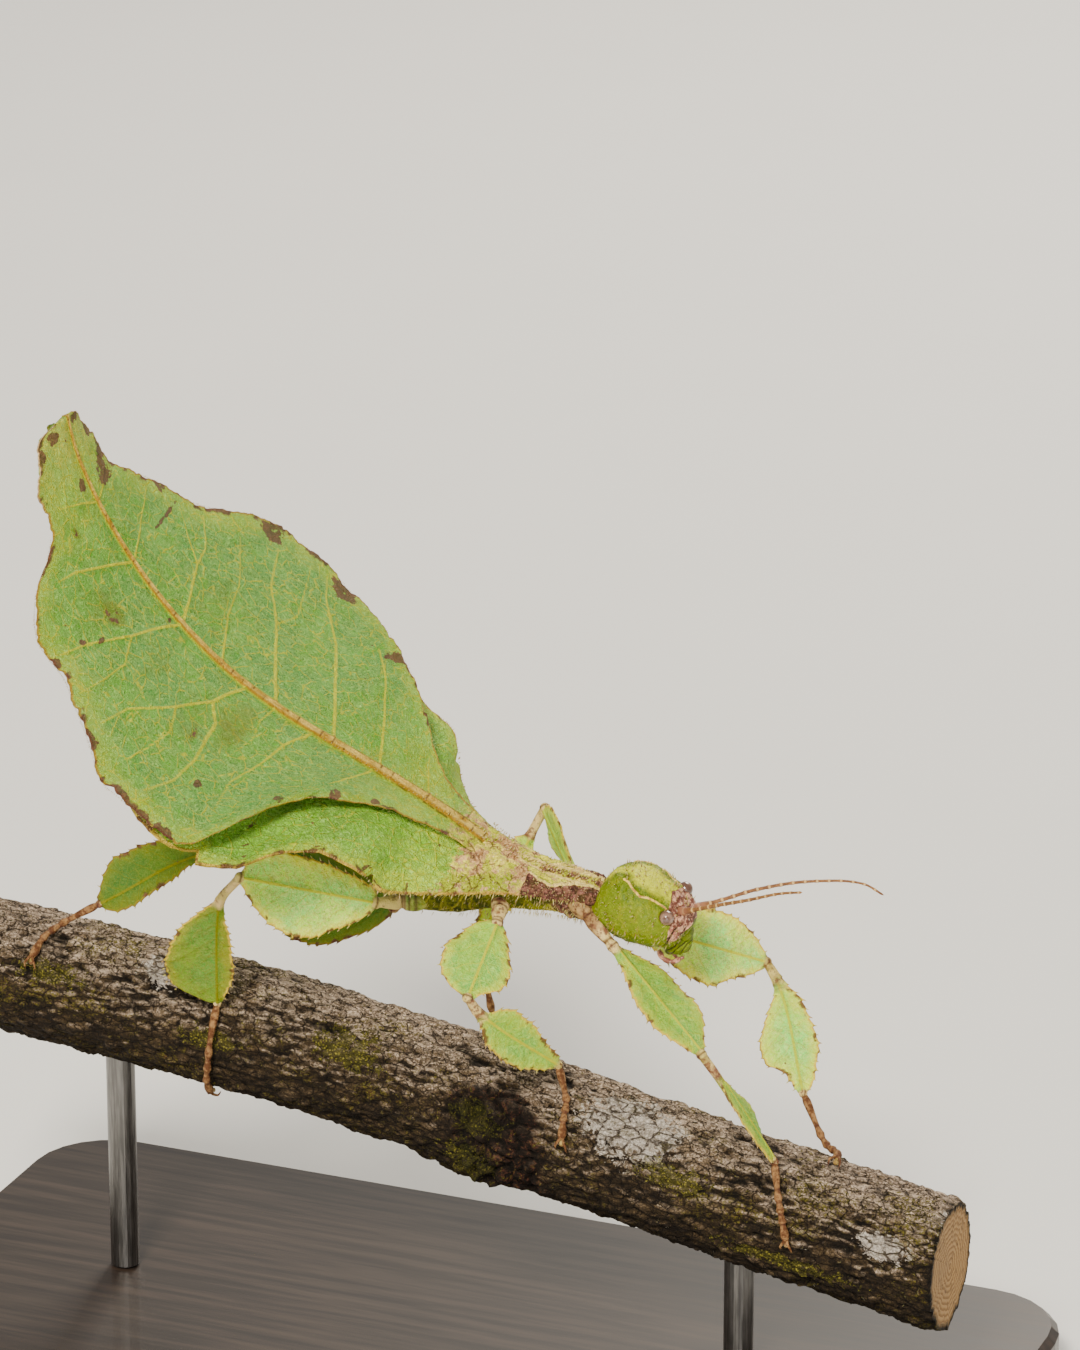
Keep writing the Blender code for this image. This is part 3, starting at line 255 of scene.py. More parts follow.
# Claws and pad: places along and round the bark past the foot, their heights, and radii over their length
CLAW_PATH = [(0.0, -3.0, 0.62), (0.3, 2.0, 0.72), (0.55, 6.0, 0.6), (0.55, 9.5, 0.16)]
CLAW_RADII = [(0.0, 0.16), (0.5, 0.13), (0.85, 0.07), (1.0, 0.015)]
PAD_PATH = [(-2.0, 0.5), (2.5, 0.42), (5.5, 0.32)]
PAD_RADII = [(0.0, 0.1), (0.4, 0.26), (0.8, 0.26), (1.0, 0.06)]
LIMB_EDGE = 20
TIBIA_MARK = 42.0
FEMUR_LOBES = {
    "front": ([(0.0, 0.5), (0.1, 1.3), (0.22, 2.4), (0.4, 3.5), (0.58, 3.6), (0.74, 3.3), (0.87, 2.2),
               (1.0, 0.5)],
              [(0.0, 0.5), (0.12, 1.1), (0.35, 2.4), (0.52, 3.2), (0.65, 3.3), (0.78, 2.4), (0.92, 1.4),
               (1.0, 0.5)]),
    "middle": ([(0.0, 0.9), (0.1, 2.0), (0.28, 3.0), (0.5, 3.9), (0.68, 3.8), (0.83, 3.2), (0.94, 2.0),
                (1.0, 0.5)],
               [(0.0, 0.6), (0.12, 1.4), (0.28, 2.2), (0.45, 2.8), (0.62, 3.1), (0.75, 2.8),
                (0.87, 1.6), (1.0, 0.5)]),
    "hind": ([(0.0, 1.0), (0.12, 1.9), (0.26, 2.5), (0.45, 3.0), (0.62, 3.3), (0.83, 3.2), (0.94, 2.3),
              (1.0, 0.5)],
             [(0.0, 0.7), (0.11, 2.2), (0.24, 3.4), (0.43, 4.6), (0.57, 4.8), (0.68, 4.3), (0.85, 2.7),
              (1.0, 0.5)]),
}
TIBIA_LOBES = {
    "front": ([(0.0, 0.4), (0.2, 0.6), (0.34, 1.7), (0.47, 2.8), (0.6, 3.4), (0.72, 3.2), (0.84, 1.4),
               (1.0, 0.4)],
              [(0.0, 0.4), (0.18, 0.8), (0.34, 1.7), (0.5, 2.2), (0.66, 2.4), (0.84, 1.8), (0.95, 1.1),
               (1.0, 0.4)]),
    "middle": ([(0.0, 0.4), (0.2, 0.5), (0.31, 1.7), (0.42, 2.4), (0.55, 2.3), (0.75, 1.5), (0.92, 0.9),
                (1.0, 0.4)],
               [(0.0, 0.4), (0.2, 0.8), (0.4, 2.1), (0.55, 2.5), (0.7, 2.4), (0.84, 1.8), (0.95, 0.9),
                (1.0, 0.4)]),
    "hind": ([(0.0, 0.4), (0.28, 0.6), (0.36, 1.6), (0.51, 3.7), (0.66, 4.9), (0.8, 5.4), (0.92, 5.0),
              (1.0, 1.2)],
             [(0.0, 0.4), (0.3, 0.5), (0.5, 1.2), (0.65, 1.6), (0.78, 1.7), (0.9, 1.2), (0.96, 0.7),
              (1.0, 0.4)]),
}

# Branch
BRANCH_Y = 1.0
BRANCH_LINE = [(-53.0, 38.1), (-17.0, 34.5), (21.0, 27.6), (53.0, 21.9)]
BRANCH_RADIUS = 6.7
KNOT_X = 4.0
KNOT_LENGTH = 6.0
KNOT_HEIGHT = 0.9
BARK_ROWS = 400
BARK_SIDES = 210
BRANCH_ROOM = 0.5
LICHEN_SPOTS = [(20.8, 54.0, 5.8, 36.0), (55.0, 72.0, 2.6, 30.0), (48.0, 26.0, 3.0, 14.0),
                (-30.0, 60.0, 3.0, 18.0), (-8.0, 250.0, 8.0, 40.0), (30.0, 200.0, 7.0, 36.0),
                (-44.0, 190.0, 5.0, 40.0), (-15.0, 140.0, 4.0, 25.0)]
MOSS_SPOTS = [(-9.0, 36.0, 5.0, 24.0), (5.5, 16.0, 3.5, 20.0), (4.5, -30.0, 3.5, 30.0),
              (26.0, 24.0, 5.0, 14.0),
              (38.0, -20.0, 9.0, 10.0), (-24.0, 8.0, 4.0, 14.0), (-42.0, 30.0, 5.0, 14.0),
              (10.0, 180.0, 9.0, 40.0), (-25.0, 220.0, 8.0, 40.0), (40.0, 150.0, 7.0, 30.0)]

# Bristles: counts, and the size of each one's patch on the bake map
TOP_HAIRS = 420
KEEL_HAIRS = 560
HEAD_HAIRS = 1000
MAP_PATCH = 0.003

# Stage: floor, and lamps with their places, sizes in metres, power and tint
FLOOR_SIZE = 6.0
FLOOR_BACK = 1.0
PAPER = (0.84, 0.83, 0.80)
SKY_TINT = (1.0, 0.985, 0.96, 1.0)
SKY_STRENGTH = 0.30
LAMPS = {"key": ((0.08, -0.70, 0.68), 0.22, 13.5, (1.0, 0.94, 0.82)),
         "fill": ((0.5, -0.9, 0.12), 0.5, 3.6, (1.0, 0.97, 0.92)),
         "rim": ((0.0, 0.7, 0.6), 0.35, 7.0, (1.0, 0.93, 0.82))}
LAMP_TARGET = (0.0, 0.0, 0.05)

# Camera: the point it looks at, the way to it, its distance and lens
VIEW_AZIMUTH = math.radians(22.0)
VIEW_HEIGHT = math.radians(20.0)
VIEW_POINT = np.array([10.0, 0.0, 30.0])
VIEW_RISE = 45.2
VIEW_DISTANCE = 600.0
VIEW_LENS = 160.0


# Curves through tables of places and values
def smooth(table, at):
    """Read a smooth curve, without overshoot, through (position, value) pairs."""
    table = np.asarray(table, float)
    places = table[:, 0]
    values = table[:, 1]
    steps = np.diff(places)
    slopes = np.diff(values) / steps
    tangents = np.zeros(len(places))
    tangents[0] = slopes[0]
    tangents[-1] = slopes[-1]
    alike = slopes[:-1] * slopes[1:] > 0
    both = np.where(alike, slopes[:-1] + slopes[1:], 1)
    tangents[1:-1] = np.where(alike, 2 * slopes[:-1] * slopes[1:] / both, 0)
    at = np.clip(at, places[0], places[-1])
    index = np.clip(np.searchsorted(places, at, side="right") - 1, 0, len(steps) - 1)
    t = (at - places[index]) / steps[index]
    step = steps[index]
    return (values[index] * (1 + 2 * t) * (1 - t) ** 2 + step * tangents[index] * t * (1 - t) ** 2
            + values[index + 1] * t * t * (3 - 2 * t) - step * tangents[index + 1] * t * t * (1 - t))


def measured(points, zero=0):
    """Give each coordinate of a line as a table over the distance along it."""
    points = np.array(points, float)
    lengths = np.concatenate([[0.0], np.cumsum(np.linalg.norm(np.diff(points, axis=0), axis=1))])
    lengths = lengths - lengths[zero]
    return [np.stack([lengths, column], axis=1) for column in points.T]


def along_line(points, count):
    """Evenly spaced points, and their distances, on a smooth line through the given ones."""
    tables = measured(points)
    at = np.linspace(0.0, tables[0][-1, 0], count)
    return np.stack([smooth(table, at) for table in tables], axis=1), at


def fade(value, low, high):
    """Smooth step from 0 at low to 1 at high."""
    t = np.clip((value - low) / (high - low), 0.0, 1.0)
    return t * t * (3 - 2 * t)


def fall(value, low, high):
    """Smooth step from 1 at low to 0 at high."""
    return 1 - fade(value, low, high)


def bell(gap, width):
    """Soft bump: 1 where the gap is 0, and nearly 0 at twice the width."""
    return np.exp(-(gap / width) ** 2)


def turns(count):
    """Even angles round a full turn."""
    return np.linspace(0.0, 2 * math.pi, count, endpoint=False)


def grid(rows, columns):
    """Values down the rows and along the columns, both spread over one grid."""
    return np.broadcast_arrays(rows[:, None], columns[None, :])


def together(*values):
    """Values of like or lesser shape as the columns of one array."""
    return np.stack(np.broadcast_arrays(*values), axis=-1)


def unit(vectors):
    return vectors / np.linalg.norm(vectors, axis=-1, keepdims=True)


def line_distance(x, y, line):
    """Distance of each place to a bent line, and its share of the way along it."""
    line = np.array(line, float)
    best = np.full(np.shape(x), 1e9)
    share = np.zeros(np.shape(x))
    for index, (start, end) in enumerate(zip(line[:-1], line[1:])):
        span = end - start
        t = np.clip(((x - start[0]) * span[0] + (y - start[1]) * span[1]) / span.dot(span), 0.0, 1.0)
        gap = np.hypot(x - start[0] - t * span[0], y - start[1] - t * span[1])
        share = np.where(gap < best, (index + t) / (len(line) - 1), share)
        best = np.minimum(best, gap)
    return best, share


def grain(points, size, seed=0.0, octaves=3):
    """Soft fractal noise, about -1 to 1, at points of any array shape."""
    flat = np.asarray(points, float).reshape(-1, 3) / size + seed
    values = [noise.fractal(Vector(point), 0.6, 2.1, octaves) for point in flat]
    return np.array(values).reshape(np.shape(points)[:-1])


# Meshes
def deselect():
    bpy.ops.object.select_all(action="DESELECT")


def weave(name, points, fields):
    """Shape a grid to rows and columns of points, its last column joined to the first, its ends closed."""
    points = np.concatenate([points, points[:, :1]], axis=1)
    fields = {key: np.concatenate([value, value[:, :1]], axis=1) for key, value in fields.items()}
    rows, columns = points.shape[:2]
    deselect()
    bpy.ops.mesh.primitive_grid_add(x_subdivisions=columns - 1, y_subdivisions=rows - 1, size=2)
    item = bpy.context.active_object
    item.name = name
    item.data.name = name
    start = np.empty(len(item.data.vertices) * 3)
    item.data.vertices.foreach_get("co", start)
    start = start.reshape(-1, 3)
    column = np.rint((start[:, 0] + 1) / 2 * (columns - 1)).astype(int)
    row = np.rint((start[:, 1] + 1) / 2 * (rows - 1)).astype(int)
    item.data.vertices.foreach_set("co", (points[row, column] * MM).ravel())
    for key, values in fields.items():
        attribute = item.data.attributes.new(key, "FLOAT_VECTOR", "POINT")
        attribute.data.foreach_set("vector", values[row, column].ravel())
    item.data.update()
    bpy.ops.object.mode_set(mode="EDIT")
    bpy.ops.mesh.select_all(action="SELECT")
    bpy.ops.mesh.remove_doubles(threshold=MERGE_GAP * MM)
    bpy.ops.mesh.select_all(action="SELECT")
    bpy.ops.mesh.fill_holes(sides=0)
    bpy.ops.mesh.select_all(action="SELECT")
    bpy.ops.mesh.normals_make_consistent(inside=False)
    bpy.ops.object.mode_set(mode="OBJECT")
    bpy.ops.object.shade_smooth()
    return item


def padded(fields, before, after):
    """Repeat the first and last rows of each field, for rows added at the ends."""
    return {key: np.concatenate([value[:1]] * before + [value] + [value[-1:]] * after)
            for key, value in fields.items()}


def fuse(name, items):
    """Join several meshes into one piece."""
    deselect()
    for item in items:
        item.select_set(True)
    bpy.context.view_layer.objects.active = items[0]
    if len(items) > 1:
        bpy.ops.object.join()
    items[0].name = name
    items[0].data.name = name
    return items[0]


def dress(item, finish, nodes=()):
    """Give a piece its finish, set it under the root, and hide the CAD nodes that it stands for."""
    item.data.materials.clear()
    item.data.materials.append(finish)
    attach(item, "root")
    if nodes:
        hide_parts(*nodes)
    return item


def tube(name, line, radii, sides, fields):
    """Round tube along a line of points, with its own radius at each."""
    line = np.asarray(line, float)
    ahead = unit(np.gradient(line, axis=0))
    side_way = np.zeros_like(line)
    guess = np.array([0.0, 0.0, 1.0]) if abs(ahead[0][2]) < 0.9 else ALONG
    for index, direction in enumerate(ahead):
        guess = unit(guess - direction * direction.dot(guess))
        side_way[index] = guess
    other = np.cross(ahead, side_way)
    angle = turns(sides)
    radii = np.asarray(radii, float)[:, None, None]
    ring = np.cos(angle)[None, :, None] * side_way[:, None] + np.sin(angle)[None, :, None] * other[:, None]
    return weave(name, line[:, None] + radii * ring, fields)


# Shader maths
class Value:
    """A shader socket that can be used in Python arithmetic."""

    def __init__(self, finish, socket):
        self.finish = finish
        self.socket = socket

    def maths(self, operation, *others):
        inputs = dict(enumerate((self,) + others))
        return self.finish.node("ShaderNodeMath", {"operation": operation}, inputs)

    def __add__(self, other):
        return self.maths("ADD", other)

    __radd__ = __add__

    def __sub__(self, other):
        return self.maths("SUBTRACT", other)

    def __rsub__(self, other):
        return self.finish.node("ShaderNodeMath", {"operation": "SUBTRACT"}, {0: other, 1: self})

    def __mul__(self, other):
        return self.maths("MULTIPLY", other)

    __rmul__ = __mul__

    def __truediv__(self, other):
        return self.maths("DIVIDE", other)

    def __abs__(self):
        return self.maths("ABSOLUTE")

    def most(self, *others):
        """The greatest of this value and the others."""
        for other in others:
            self = self.maths("MAXIMUM", other)
        return self

    def swing(self, amount):
        """Noise from 0 to 1 turned into a swing about 0."""
        return (self - 0.5) * amount

    def ramp(self, low, high):
        """Smooth step from 0 at low to 1 at high; low may be above high."""
        return self.finish.node("ShaderNodeMapRange", {"interpolation_type": "SMOOTHSTEP"},
                                {"Value": self, "From Min": low, "From Max": high})

    def parts(self):
        return [self.finish.node("ShaderNodeSeparateXYZ", {}, {0: self}, output) for output in range(3)]


class Finish:
    """One material and the nodes behind it."""

    def __init__(self, name, roughness=0.6, coat=0.0, gloss=0.5):
        self.material = bpy.data.materials.new(name)
        self.material.use_nodes = True
        self.tree = self.material.node_tree
        self.shader = self.tree.nodes["Principled BSDF"]
        self.shader.inputs["Roughness"].default_value = roughness
        self.shader.inputs["Coat Weight"].default_value = coat
        self.shader.inputs["Specular IOR Level"].default_value = gloss
        where = self.node("ShaderNodeTexCoord", {}, {}, 3)
        self.place = self.node("ShaderNodeVectorMath", {"operation": "SCALE"}, {0: where, 3: 1000.0})

    def node(self, kind, settings, inputs, output=0):
        """Add a node: its settings first, then the values or links of its sockets."""
        made = self.tree.nodes.new(kind)
        for key, value in settings.items():
            setattr(made, key, value)
        for key, value in inputs.items():
            if isinstance(value, Value):
                self.tree.links.new(value.socket, made.inputs[key])
            elif isinstance(value, tuple) and made.inputs[key].type == "RGBA":
                made.inputs[key].default_value = (*value, 1.0)
            else:
                made.inputs[key].default_value = value
        return Value(self, made.outputs[output])

    def attribute(self, name):
        return self.node("ShaderNodeAttribute", {"attribute_name": name}, {}, 1)

    def stretch(self, scale, on=None):
        return self.node("ShaderNodeVectorMath", {"operation": "MULTIPLY"}, {0: on or self.place, 1: scale})

    def cloud(self, size, detail=3.0, roughness=0.55, distortion=0.0, on=None):
        """Noise from 0 to 1 with features of about the given size, in millimetres unless on a vector."""
        inputs = {"Vector": on or self.place, "Scale": 1.0 / size, "Detail": detail, "Roughness": roughness}
        return self.node("ShaderNodeTexNoise", {}, {**inputs, "Distortion": distortion})

    def clouds(self, *settings):
        return [self.cloud(*setting) for setting in settings]

    def net(self, size, feature="DISTANCE_TO_EDGE", on=None):
        return self.node("ShaderNodeTexVoronoi", {"feature": feature},
                         {"Vector": on or self.place, "Scale": 1.0 / size})

    def dots(self, size, edge, full):
        """Round dots: 0 at the distance of their edge from a middle, and 1 from there in."""
        return self.net(size, "F1").ramp(edge, full)

    def warped(self, size, share, on=None):
        """A vector, bent by a share of noise of the given size."""
        vector = on or self.place
        inputs = {"Vector": vector, "Scale": 1.0 / size, "Detail": 2.0}
        wander = self.node("ShaderNodeTexNoise", {}, inputs, 1)
        return self.node("ShaderNodeMix", {"data_type": "VECTOR"}, {0: share, 4: vector, 5: wander}, 1)

    def mix(self, first, second, share, blend="MIX"):
        return self.node("ShaderNodeMix", {"data_type": "RGBA", "blend_type": blend},
                         {0: share, 6: first, 7: second}, 2)

    def layered(self, colour, *layers):
        """A colour with each of the (colour, share) layers over it in turn."""
        for tone, share in layers:
            colour = self.mix(colour, tone, share)
        return colour

    def base(self, first, second, share):
        """Start the finish with a mix of two colours."""
        self.colour = self.mix(first, second, share)

    def lay(self, tone, share, blend="MIX"):
        """Lay a colour over the finish."""
        self.colour = self.mix(self.colour, tone, share, blend)

    def threads(self, size, width):
        """Curly pale threads, as on a woolly leaf: 1 on a thread and 0 between."""
        wave = self.cloud(size, 2.0, 0.5, 1.2)
        return abs(wave - 0.5).ramp(width, 0.0)

    def speckle(self, squeeze, size):
        """Noise over the leaf coordinates, drawn out along the margin."""
        return self.cloud(size, 2.0, on=self.stretch((1.0, squeeze, 0.0), self.attribute("leaf")))

    def done(self, roughness=None, height=None, depth=0.1, strength=0.6):
        """Link the colour, roughness and relief; depth is the relief's height in millimetres."""
        self.tree.links.new(self.colour.socket, self.shader.inputs["Base Color"])
        if roughness is not None:
            self.tree.links.new(roughness.socket, self.shader.inputs["Roughness"])
        if height is not None:
            bump = self.node("ShaderNodeBump", {},
                             {"Strength": strength, "Distance": depth * MM, "Height": height})
            self.tree.links.new(bump.socket, self.shader.inputs["Normal"])
        return self.material


# Colours, as linear values
GREEN_MID = (0.100, 0.345, 0.015)
GREEN_BLUE = (0.075, 0.30, 0.050)
GREEN_DEEP = (0.11, 0.28, 0.005)
GREEN_DARK = (0.038, 0.125, 0.006)
GREEN_YELLOW = (0.45, 0.54, 0.006)
WOOL = (0.44, 0.77, 0.15)
VEIN_YELLOW = (0.66, 0.64, 0.02)
RIB_TAN = (0.50, 0.27, 0.012)
RIB_PINK_HIGHLIGHT = (0.95, 0.70, 0.14)
MARGIN_TAN = (0.46, 0.20, 0.018)
BROWN = (0.082, 0.025, 0.017)
MAUVE = (0.17, 0.055, 0.044)
OLIVE = (0.19, 0.20, 0.008)
CRACK_DARK = (0.010, 0.005, 0.0025)
SHADE_DARK = (0.010, 0.006, 0.003)
CREAM = (0.96, 0.74, 0.15)
TIP_TAN = (0.78, 0.64, 0.08)
RIM_GOLD = (0.86, 0.60, 0.06)
LOBE_TONES = ((0.24, 0.50, 0.020), (0.13, 0.42, 0.060), (0.52, 0.58, 0.010), (0.55, 0.82, 0.13))
BRIGHTEST = 0.95


def lifted(tone, light_lift):
    """A colour made brighter, each part of it up to a limit."""
    return tuple(min(value * light_lift, BRIGHTEST) for value in tone)


def leaf_finish(name):
    """Leaf surface from its own coordinates: along, across and distance to the margin."""
    finish = Finish(name, 0.55, gloss=0.15)
    along, across, margin = finish.attribute("leaf").parts()
    vein, brown, olive = finish.attribute("marks").parts()
    broad, middle, fine, ragged = finish.clouds(
        (7.0, 3.0), (1.8, 4.0, 0.6), (0.26, 3.0, 0.65), (0.9, 4.0, 0.65))
    finish.base(GREEN_MID, GREEN_BLUE, (broad + middle.swing(0.6)).ramp(0.44, 0.56))
    finish.lay(GREEN_DARK, (fine + middle * 0.8).ramp(0.76, 1.08) * 0.75)
    warm = along.ramp(27.0, 13.0).most(along.ramp(52.0, 62.0)) * 0.75
    warm = warm.most(margin.ramp(4.5, 0.3) * 0.85)
    finish.lay(GREEN_YELLOW, (warm + middle.swing(1.5)).ramp(0.05, 1.0) * 0.85)
    finish.lay(TIP_TAN, (along + ragged.swing(8.0)).ramp(60.0, 67.0) * 0.55)
    patch = finish.cloud(3.2, 3.0)
    finish.lay((0.17, 0.49, 0.055), (patch + middle.swing(0.5)).ramp(0.52, 0.66) * 0.5)
    curls = finish.threads(0.55, 0.10)
    fluff = finish.threads(0.26, 0.11)
    wool = (curls * 0.62).most(fluff * 0.46) * (0.5 + middle * 1.0)
    finish.lay(WOOL, wool)
    flat = finish.warped(0.9, 0.16, finish.attribute("leaf"))
    lines = finish.net(1.6, on=flat).ramp(0.05, 0.01) * ragged.ramp(0.38, 0.54)
    finish.lay(VEIN_YELLOW, lines * 0.75)
    finish.lay(VEIN_YELLOW, (vein + fine.swing(0.4)).ramp(0.24, 0.64) * 0.92)
    finish.lay(OLIVE, (olive + ragged.swing(1.1) + middle.swing(0.8)).ramp(0.1, 1.3) * 0.64)
    finish.lay(MARGIN_TAN, margin.ramp(0.34, 0.14) * (0.5 + 0.5 * ragged))
    near = finish.speckle(0.6, 1.9)
    tip = along.ramp(60.0, 65.0)
    spots = (near + tip * 0.05).ramp(0.53, 0.60) * (margin + ragged * 1.6).ramp(1.55, 1.1)
    stain = (brown + ragged.swing(2.4)).ramp(0.55, 0.72)
    dark = finish.mix(BROWN, MAUVE, (fine * 0.6 + middle * 0.5).ramp(0.44, 0.60))
    freckle = finish.dots(2.4, 0.075, 0.045) * middle.ramp(0.5, 0.56)
    finish.lay(dark, spots.most(stain, freckle) * 0.88)
    finish.lay((0.85, 0.62, 0.30), margin.ramp(0.16, 0.05) * tip * 0.8)
    front = thorax_colours(finish, along, across, middle, fine)
    finish.lay(front, (along + ragged.swing(7.0)).ramp(10.2, 8.6))
    rib = abs(across) / (1.0 - 0.0108 * along)
    finish.lay((0.50, 0.56, 0.012), rib.ramp(1.35, 0.9) * 0.8)
    finish.lay(RIB_TAN, rib.ramp(0.95, 0.7))
    # pink along the crest of the midrib: partly its own pink, partly a painted highlight
    finish.lay(RIB_PINK_HIGHLIGHT, rib.ramp(0.68, 0.25) * middle.ramp(0.3, 0.6) * 0.85)
    rail = abs(rib - 0.9).ramp(0.16, 0.06) * along.ramp(30.0, 16.0) * ragged.ramp(0.4, 0.55)
    tick = (along / 1.35).maths("FRACT").ramp(0.2, 0.1) * finish.cloud(1.1).ramp(0.46, 0.56)
    finish.lay(BROWN, rail.most(tick * rib.ramp(0.8, 0.55)) * 0.7)
    height = curls * 0.8 + fluff * 0.4 + fine * 0.6 + lines * 0.6 + middle * 0.8
    return finish.done(0.5 + 0.2 * fine, height, 0.2, 0.95)


def limb_finish(name, light_lift, tibia_tint_and_shade, rust):
    """Leg surface: green lobes with yellow ribs and toothed tan edges, pink-brown stalks."""
    finish = Finish(name, 0.55, gloss=0.15)
    along, across, margin = finish.attribute("leaf").parts()
    stalk, joint, tarsus = finish.attribute("marks").parts()
    broad, middle, fine, ragged = finish.clouds((4.0, 2.0), (1.1, 3.0), (0.3, 3.0, 0.65), (0.6, 4.0, 0.65))
    # painted light and shade: the lobes' greens are brightened or darkened for each leg
    green, blue, yellow, wool = [lifted(tone, light_lift) for tone in LOBE_TONES]
    finish.base(green, blue, broad.ramp(0.4, 0.6))
    finish.lay(GREEN_DARK, (fine + middle * 0.6).ramp(0.74, 1.04) * 0.6)
    warm = margin.ramp(1.9, 0.1) * 0.8 + middle.swing(1.3)
    finish.lay(yellow, warm.ramp(0.05, 0.9) * 0.8)
    tangle = finish.threads(0.5, 0.09)
    curls = finish.threads(0.25, 0.10)
    finish.lay(wool, (tangle * 0.55).most(curls * 0.42))
    slope = along - abs(across) * 0.9
    wobble = (slope + middle * 1.4) / 2.1
    branch = abs(wobble.maths("FRACT") - 0.5).ramp(0.05, 0.015) * 0.55
    cells = finish.net(1.1, on=finish.warped(0.9, 0.12, finish.attribute("leaf"))).ramp(0.06, 0.015) * 0.3
    lines = branch.most(cells)
    vein, rim = [lifted(tone, min(light_lift, 1.0)) for tone in (VEIN_YELLOW, RIM_GOLD)]
    finish.lay(vein, lines * 0.8)
    finish.lay(vein, abs(across).ramp(0.2, 0.07) * 0.9)
    # the tibia's tint, partly painted shade, multiplied over the tibia
    finish.lay(tibia_tint_and_shade, along.ramp(TIBIA_MARK - 2.0, TIBIA_MARK - 1.0), "MULTIPLY")
    finish.lay(rim, margin.ramp(0.34, 0.12) * 0.9)
    specks = finish.speckle(0.8, 1.5).ramp(0.53, 0.6)
    dark = finish.mix(BROWN, MAUVE, fine.ramp(0.35, 0.65))
    freckle = finish.dots(1.9, 0.07, 0.04) * middle.ramp(0.5, 0.56)
    specks = specks * (margin + ragged * 0.9).ramp(1.0, 0.7)
    finish.lay(dark, specks.most(freckle) * 0.85)
    wood = finish.mix((0.24 + 0.1 * (1 - rust), 0.12, 0.06), (0.92, 0.68, 0.26),
                      (middle - rust * 0.3).ramp(0.20, 0.40))
    wood = finish.mix(wood, (0.50, 0.46, 0.05), broad.ramp(0.5, 0.62) * 0.4)
    wood = finish.mix(wood, MAUVE, (ragged + rust * 0.16).ramp(0.60, 0.70) * 0.8)
    finish.lay(wood, stalk)
    foot = finish.mix((0.36, 0.19, 0.075), (0.13, 0.05, 0.02), ragged.ramp(0.4, 0.6))
    finish.lay(foot, tarsus)
    finish.lay(BROWN, joint * 0.8)
    height = tangle * 0.5 + curls * 0.3 + fine * 0.7 + lines * 0.6 + middle * 0.6
    return finish.done(0.48 + 0.2 * fine, height, 0.12, 0.85)


def thorax_colours(finish, along, across, middle, fine):
    """Yellow-green base of the thorax with cream and pink blotches, pale grains and fine brown lines."""
    patch, tone = finish.clouds((1.5, 4.0, 0.62), (1.9, 4.0, 0.6))
    edge = (abs(across) - along * 0.55 + patch * 2.0).ramp(1.6, 2.4) * along.ramp(1.0, 2.0)
    veins = finish.net(1.5, on=finish.warped(0.8, 0.35)).ramp(0.06, 0.01)
    pink = finish.mix((0.72, 0.38, 0.20), (0.34, 0.12, 0.075), (tone + fine.swing(0.4)).ramp(0.56, 0.68))
    return finish.layered(
        finish.mix((0.52, 0.56, 0.025), (0.80, 0.74, 0.07), middle.ramp(0.42, 0.6)),
        (CREAM, patch.ramp(0.46, 0.56)), ((0.34, 0.43, 0.010), edge * 0.85),
        (pink, tone.ramp(0.50, 0.56) * 0.85),
        (BROWN, veins * patch.ramp(0.44, 0.52) * 0.75),
        ((0.95, 0.80, 0.42), finish.dots(0.38, 0.28, 0.1) * middle.ramp(0.45, 0.6) * 0.65),
        (BROWN, finish.dots(0.8, 0.13, 0.08) * fine.ramp(0.4, 0.5) * 0.7))


